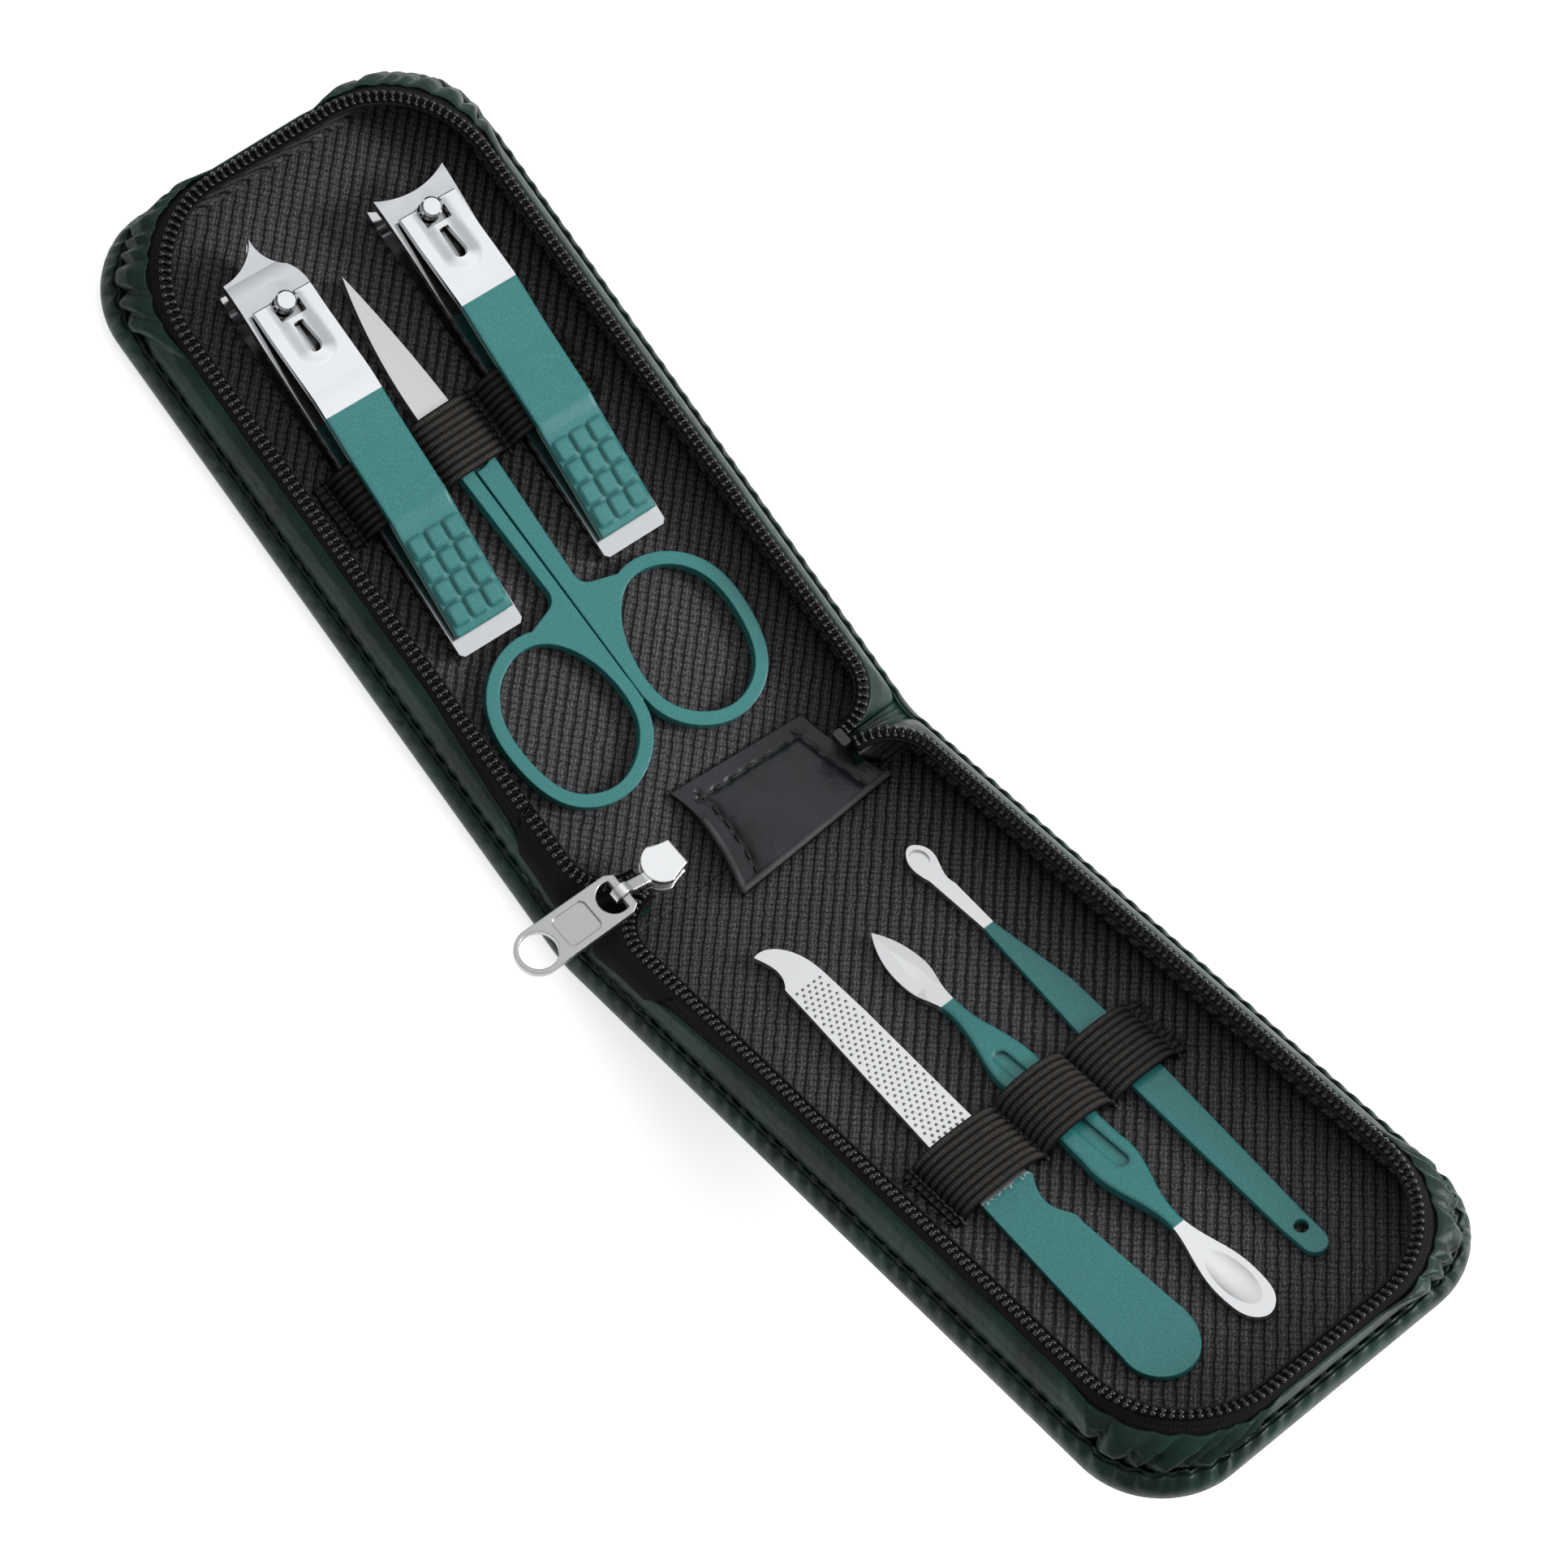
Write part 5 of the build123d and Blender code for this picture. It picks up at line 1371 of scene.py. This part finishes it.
# %% Lining across the fold
rows = []
for k in range(-6, FAN + 7):
    t = k / FAN
    arc_length = (fold_height - 2.2) * open_tilt * t
    line = [22.6 - 45.2 * j / 24 for j in range(25)]
    rows.append([((u, -arc_length), turned(u, 2.28, t)) for u in line])
fold_cloth = cloth_grid("fold_lining_cloth", rows, 0.0)
bend_over_fold(fold_cloth)
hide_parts("fold_lining")
print("cloth across the fold:", len(fold_cloth.data.polygons), "faces")

# %% [markdown]
# ## Leather patch
# A rectangle of thin smooth leather hides where the two linings meet at the fold. It is cut a
# little askew and sewn down on three sides, and the leather puffs up between the stitches and
# sinks under them. It could be sculpted. Here its height is a sum of three plain terms, full in
# the middle, sunk at the seam, and a slow curl, so that the stitches fall exactly in the groove.

# %% Shape of the patch
PATCH_T = 0.7
PATCH_WIDE = 24.0
PATCH_LONG = 15.0
SEWN_IN = 3.0
BED_A = 2.25 + PATCH_T / 2
BED_B = 2.55 + PATCH_T / 2
patch_left = [Vector((-5.2, 7.9, BED_A)), Vector((-4.5, 0.2, 4.7)), Vector(on_b(-6.8, 6.4, BED_B))]
patch_right = [Vector((17.8, 6.4, BED_A)), Vector((18.9, -0.1, 4.7)), Vector(on_b(21.9, 4.6, BED_B))]


def patch_point(s, t):
    """Point on the patch: s from left to right, t from half A over the fold to half B."""
    shares = (2 * (t - 0.5) * (t - 1), -4 * t * (t - 1), 2 * t * (t - 0.5))
    rows = [l.lerp(r, s) * share for l, r, share in zip(patch_left, patch_right, shares)]
    return rows[0] + rows[1] + rows[2]


def patch_up(t):
    """Direction away from the case floor under the patch."""
    return Vector((0, sin(open_tilt * t), cos(open_tilt * t)))


def patch_puff(s, t):
    """Height of the leather over its flat: sunk at the stitches, full in the middle."""
    from_edges = (s * PATCH_WIDE, (1 - s) * PATCH_WIDE, t * PATCH_LONG)
    inset = min(from_edges)
    beside = min(abs(edge - SEWN_IN) for edge in from_edges)
    round_line = (s * PATCH_WIDE + 0.8 * t * PATCH_LONG) * 2 * pi / 2.6
    sunk = (0.3 + 0.08 * cos(round_line)) * np.exp(-((beside / 0.55) ** 2)) if inset > SEWN_IN - 1.5 else 0.0
    full = 0.55 * (1 - np.exp(-max(inset - SEWN_IN, 0.0) / 2.5)) + 0.15
    curl = 0.12 * sin(9 * s + 2.0) * sin(7 * t)
    return full - sunk + curl


print("puff in the middle and at the seam:", round(patch_puff(0.5, 0.5), 2), round(patch_puff(0.5, 0.2), 2))

# %% [markdown]
# The surface is a fine grid, with an under side so that it is a closed sheet. The quadratic through three
# rows gives it the same bend as the fold.

# %% Patch
ACROSS = 96
ALONG = 60
sections = []
for i in range(ALONG + 1):
    t = i / ALONG
    top = []
    under = []
    for j in range(ACROSS + 1):
        s = j / ACROSS
        p = patch_point(s, t)
        top.append(tuple(p + patch_up(t) * (PATCH_T / 2 - 0.1 + patch_puff(s, t))))
        under.append(tuple(p - patch_up(t) * (PATCH_T / 2)))
    sections.append(top + under[::-4])
patch = skin("hinge_patch_leather", sections, black_leather)
bend_over_fold(patch)
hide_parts("hinge_patch")
print("patch:", len(patch.data.polygons), "faces")

# %% [markdown]
# Two edges of the patch are folded over, and their cut shows as a rounded lip. A lip is a flat
# oval carried along the edge, like a bead of icing.

# %% Lips of the patch
def bead_along(name, line, ups, wide, high, material):
    """Flat rounded strip along a line of points, with its own up direction at each point."""
    sections = []
    for k, (point, up) in enumerate(zip(line, ups)):
        ahead = (line[min(k + 1, len(line) - 1)] - line[max(k - 1, 0)]).normalized()
        across = ahead.cross(up).normalized()
        turns = [2 * pi * j / 10 for j in range(10)]
        sections.append([tuple(point + across * wide * cos(a) + up * high * sin(a)) for a in turns])
    return skin(name, sections, material)


lip_b = [patch_point(k / 40, 0.985) + patch_up(1.0) * 0.55 for k in range(41)]
lip_left = [patch_point(0.015, k / 40) + patch_up(k / 40) * 0.5 for k in range(15, 41)]
for name, line, ups in (
    ("patch_lip_end", lip_b, [patch_up(1.0)] * 41),
    ("patch_lip_left", lip_left, [patch_up(k / 40) for k in range(15, 41)]),
):
    lip = bead_along(name, line, ups, 0.55, 0.5, cut_edge)
    bend_over_fold(lip)
    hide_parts("hinge_patch")
    print(name, len(lip.data.polygons), "faces")

# %% [markdown]
# The stitches run inside the three other edges. Their path is read from the same height as the
# leather, so they lie in the groove, and the stitch tree of the case's seam grows them.

# %% Stitches of the patch
inset_s = SEWN_IN / PATCH_WIDE
inset_t = SEWN_IN / PATCH_LONG
patch_stitch = {"Material": thread, "Pitch": 2.6 * MM, "Length": 1.7 * MM, "Radius": 0.24 * MM}
for name, ends in (
    ("patch_stitches_end", [(inset_s, inset_t), (1 - inset_s, inset_t)]),
    ("patch_stitches_left", [(inset_s, inset_t), (inset_s, 0.93)]),
    ("patch_stitches_right", [(1 - inset_s, inset_t), (1 - inset_s, 0.93)]),
):
    line = []
    for k in range(31):
        s, t = ((a + (b - a) * k / 30) for a, b in zip(*ends))
        line.append(patch_point(s, t) + patch_up(t) * (PATCH_T / 2 - 0.02 + patch_puff(s, t)))
    sewn = grown(name, path_curve(name + "_path", line), stitch_nodes, patch_stitch)
    bend_over_fold(sewn)

# %% [markdown]
# ## Elastic straps
# The tools are held by ribbed elastic. Between the tools it is sewn flat to the lining, and over
# each tool it stands up as a loop. A half circle would be too pointed for that. A superellipse,
# which is a circle with a higher power, is wide at the top and steep at its feet, as a stretched
# band over a thick tool is.

# %% Line of a strap
STRAP_LOW = 2.55
STRAP_COUNT = 260


def arch_line(humps, ends):
    """Points in x and z of a strap that arches over each (left, right, crown, flatness)."""
    line = [(ends[0], STRAP_LOW)]
    for left, right, crown, flatness in humps:
        middle = (left + right) / 2
        half = (right - left) / 2
        for k in range(49):
            t = -cos(pi * k / 48)
            rise = (1 - abs(t) ** flatness) ** (1 / 2.2)
            line.append((middle + half * t, STRAP_LOW + (crown - STRAP_LOW) * rise))
    line.append((ends[1], STRAP_LOW))
    return line


def strap_edge(humps, ends):
    """One edge of a strap: evenly spaced points, their normals, and the length up to each."""
    rough = arch_line(humps, ends)
    along = np.array(steps([(x, 0.0, z) for x, z in rough]))
    even = np.linspace(0, along[-1], STRAP_COUNT)
    line = np.column_stack([np.interp(even, along, [q[i] for q in rough]) for i in (0, 1)])
    slopes = np.gradient(line, axis=0)
    sizes = np.hypot(slopes[:, 0], slopes[:, 1])
    return line, np.column_stack([-slopes[:, 1] / sizes, slopes[:, 0] / sizes]), even


print("a strap is laid out with", STRAP_COUNT, "sections")

# %% [markdown]
# The rubber cords in the webbing lift it into nine ribs. They are modelled, not drawn by bump,
# because they show in the outline of each loop. Each rib has its own size. The section runs over
# the ribs and back under the band, and its UV map counts one unit for each rib.

# %% Straps
RIBS = 9
PER_RIB = 6
STRAP_T = 0.55


def strap(name, place, edges, humps_near, humps_far, ends, body, node):
    """Ribbed band between two edge lines; humps are (left, right, crown, flatness) at each edge."""
    near = strap_edge(humps_near, ends)
    far = strap_edge(humps_far, ends)
    rib_size = np.random.default_rng(5).uniform(0.85, 1.15, RIBS)
    parts = RIBS * PER_RIB
    ring = [(j, True) for j in range(parts + 1)] + [(j, False) for j in range(parts, -1, -PER_RIB)]
    points = []
    uv_of = []
    for k in range(STRAP_COUNT):
        for j, on_top in ring:
            s = j / parts
            (x, z), (n, m) = ((1 - s) * near[i][k] + s * far[i][k] for i in (0, 1))
            rib = 0.24 * rib_size[min(j // PER_RIB, RIBS - 1)] * abs(sin(pi * RIBS * s)) ** 0.7
            lift = STRAP_T / 2 + rib - 0.15 if on_top else -STRAP_T / 2
            points.append(place(x + n * lift, edges[0] + (edges[1] - edges[0]) * s, z + m * lift))
            uv_of.append((near[2][k], s * RIBS))
    cols = len(ring)
    corners = [(k * cols + j, k * cols + (j + 1) % cols) for k in range(STRAP_COUNT - 1) for j in range(cols)]
    faces = [(a, a + cols, b + cols, b) for a, b in corners]
    faces += [tuple(range(cols)), tuple(range((STRAP_COUNT - 1) * cols, STRAP_COUNT * cols))[::-1]]
    uvs = [[uv_of[i] for i in face] for face in faces]
    band = outward(finish_mesh(name, points, faces, uvs, elastic_cloth))
    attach(band, body)
    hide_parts(node)
    print(name, "is", round(float(near[2][-1]), 1), "mm long,", len(band.data.polygons), "faces")


STRAP_A = {"edges": (60.0, 70.0), "ends": (-21.6, 21.2), "body": "case_a"}
STRAP_B = {"edges": (55.0, 65.5), "ends": (-20.4, 20.6), "body": "tray_b"}
# the strap in half A climbs from 6.9 to 7.6 mm over the clippers' rising levers
near_a, far_a = (
    [(-19.3, -6.3, crown, 6.0), (-5.9, 4.3, 5.5, 3.2), (6.3, 19.6, crown, 6.0)] for crown in (6.9, 7.6)
)
humps_b = [(-18.7, -4.9, 4.75, 2.6), (-4.2, 7.3, 5.5, 2.6), (8.0, 18.9, 4.7, 2.6)]
strap("elastic_strap_a", on_a, humps_near=near_a, humps_far=far_a, node="elastic_band_a", **STRAP_A)
strap("elastic_strap_b", on_b, humps_near=humps_b, humps_far=humps_b, node="elastic_band_b", **STRAP_B)

# %% [markdown]
# Each valley between two loops is sewn through with a bar of thread, back and forth over the
# same place. The bar is a short row from the stitch tree, set closer than the stitches are long,
# so that they pile up.

# %% Bars of thread
def tack(name, place, u, edges, body):
    """A bar of stitches across the strap."""
    wide = edges[1] - edges[0] + 0.6
    line = [(u + 0.12 * sin(k * 2.1), edges[0] - 0.3 + wide * k / 20, 2.95) for k in range(21)]
    path = path_curve(name + "_path", [place(*q) for q in line])
    sizes = {"Pitch": 0.85 * MM, "Length": 0.9 * MM, "Radius": 0.36 * MM}
    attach(grown(name, path, stitch_nodes, {"Material": thread, **sizes}), body)


BARS_A = (-19.9, -6.1, 5.3, 20.1)
BARS_B = (-19.3, -4.55, 7.65, 19.4)
print("bars of thread:", len(BARS_A) + len(BARS_B))

# %% [markdown]
# The cut ends of the elastic fray into short curled threads. Particles could grow them, but a
# handful of curves with a round bevel is enough, each with its own drift and length from fixed
# random numbers.

# %% Frayed ends
def frayed(name, place, u, way, edges, body, seed):
    """Short loose threads at a cut end of the strap."""
    random = np.random.default_rng(seed)
    threads = bpy.data.curves.new(name, "CURVE")
    threads.dimensions = "3D"
    threads.bevel_depth = 0.09 * MM
    threads.bevel_resolution = 1
    for k in range(16):
        v = random.uniform(edges[0] - 0.2, edges[1] + 0.2)
        spline = threads.splines.new("NURBS")
        spline.points.add(3)
        drift = random.uniform(-0.9, 0.9)
        reach = random.uniform(0.5, 1.5)
        for n, spot in enumerate(spline.points):
            q = place(u + way * reach * n / 3, v + drift * (n / 3) ** 2, 2.75 + 0.3 * sin(n * 1.3 + k))
            spot.co = (q[0] * MM, q[1] * MM, q[2] * MM, 1.0)
        spline.order_u = 3
        spline.use_endpoint_u = True
    threads.materials.append(thread)
    holder = placed(name, threads)
    bpy.context.view_layer.update()
    depsgraph = bpy.context.evaluated_depsgraph_get()
    mesh = bpy.data.meshes.new_from_object(holder.evaluated_get(depsgraph))
    bpy.data.objects.remove(holder)
    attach(placed(name, mesh), body)


for tag, place, sizes, bars in (("a", on_a, STRAP_A, BARS_A), ("b", on_b, STRAP_B, BARS_B)):
    for number, u in enumerate(bars):
        tack(f"strap_{tag}_bar_{number + 1}", place, u, sizes["edges"], sizes["body"])
    left_end, right_end = sizes["ends"]
    frayed(f"strap_{tag}_fray_left", place, left_end, -1, sizes["edges"], sizes["body"], 11)
    frayed(f"strap_{tag}_fray_right", place, right_end, 1, sizes["edges"], sizes["body"], 12)
print("frayed ends:", 2 * len(HALVES))

# %% [markdown]
# ## Punched teeth of the nail file
# The file's steel is roughened by rows of small punched pits, each row shifted by half a pitch.
# A bump pattern would do from far off, but up close each pit needs a floor of its own. It is a flat disc of
# steel, painted darker than the blade as a painted reflection of the pit's dark wall. The real rows stand a
# little closer; they are drawn about a millimetre apart, so that each pit shows.

# %% Pit
def pit_group():
    """A low eight-sided pit on every point: inputs are its radius, its depth and its tilt."""
    sizes = {"Radius": 0.25 * MM, "Depth": 0.03 * MM, "Tilt": 0.0}
    tree, source = row_group("file_pits", "Points", sizes, "Pits")
    pit = add(
        tree, "GeometryNodeMeshCylinder",
        {"Vertices": 8, "Radius": source["Radius"], "Depth": source["Depth"]},
    )
    lean = add(tree, "ShaderNodeCombineXYZ", {0: source["Tilt"]})
    return stand_on(tree, source, source["Points"], pit, lean)


pit_nodes = pit_group()
# painted reflection: the pit floors are steel painted darker than the blade, for the pit's dark wall mirrored
# in them
pit_metal = new_material(
    "steel_punched_pit_shadow", {"Base Color": colour("#8A8A8A"), "Metallic": 0.7, "Roughness": 0.5}
)[0]
print("pit tree has", len(pit_nodes.nodes), "nodes")

# %% [markdown]
# The pits may not hang over the blade's edge. So a grid of points is laid on the blade, and only
# those that lie well inside its tapering outline are kept.

# %% Pits on the blade
PIT_PITCH = 1.02
PIT_ROW = 0.88
BLADE_TOP = 2.5 + 1.0
pit_spots = []
for row in range(48):
    v = 24.2 + row * PIT_ROW
    left = np.interp(v, (24.0, 32.4, 54.8, 65.4), (7.1, 7.1, 7.8, 8.2)) + 0.5
    right = np.interp(v, (22.6, 27.4, 54.9, 65.1), (12.9, 13.2, 15.2, 16.0)) - 0.5
    for k in range(20):
        across = 5.0 + PIT_PITCH * (k + 0.5 * (row % 2))
        if left < across < right and v < 64.5:
            pit_spots.append(tuple(c * MM for c in on_b(-across, v, BLADE_TOP)))
spot_mesh = bpy.data.meshes.new("pit_spots")
spot_mesh.from_pydata(pit_spots, [], [])
pit_values = {"Material": pit_metal, "Tilt": -open_tilt}
pits = grown("nail_file_pits", placed("pit_spots", spot_mesh), pit_nodes, pit_values)
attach(pits, "nail_file_tool")
print("pits:", len(pit_spots))

# %% [markdown]
# ## Boards
# Grey fibreboard stiffens both halves between leather and lining. It is hidden once the case is
# made up, so a plain matte grey is all it needs.

# %% Boards
board = new_material("fibreboard_grey", {"Base Color": colour("#4A4844"), "Roughness": 0.9})[0]
for half in HALVES:
    paint(f"stiffener_board_{half}", board)
print("boards:", len(HALVES))
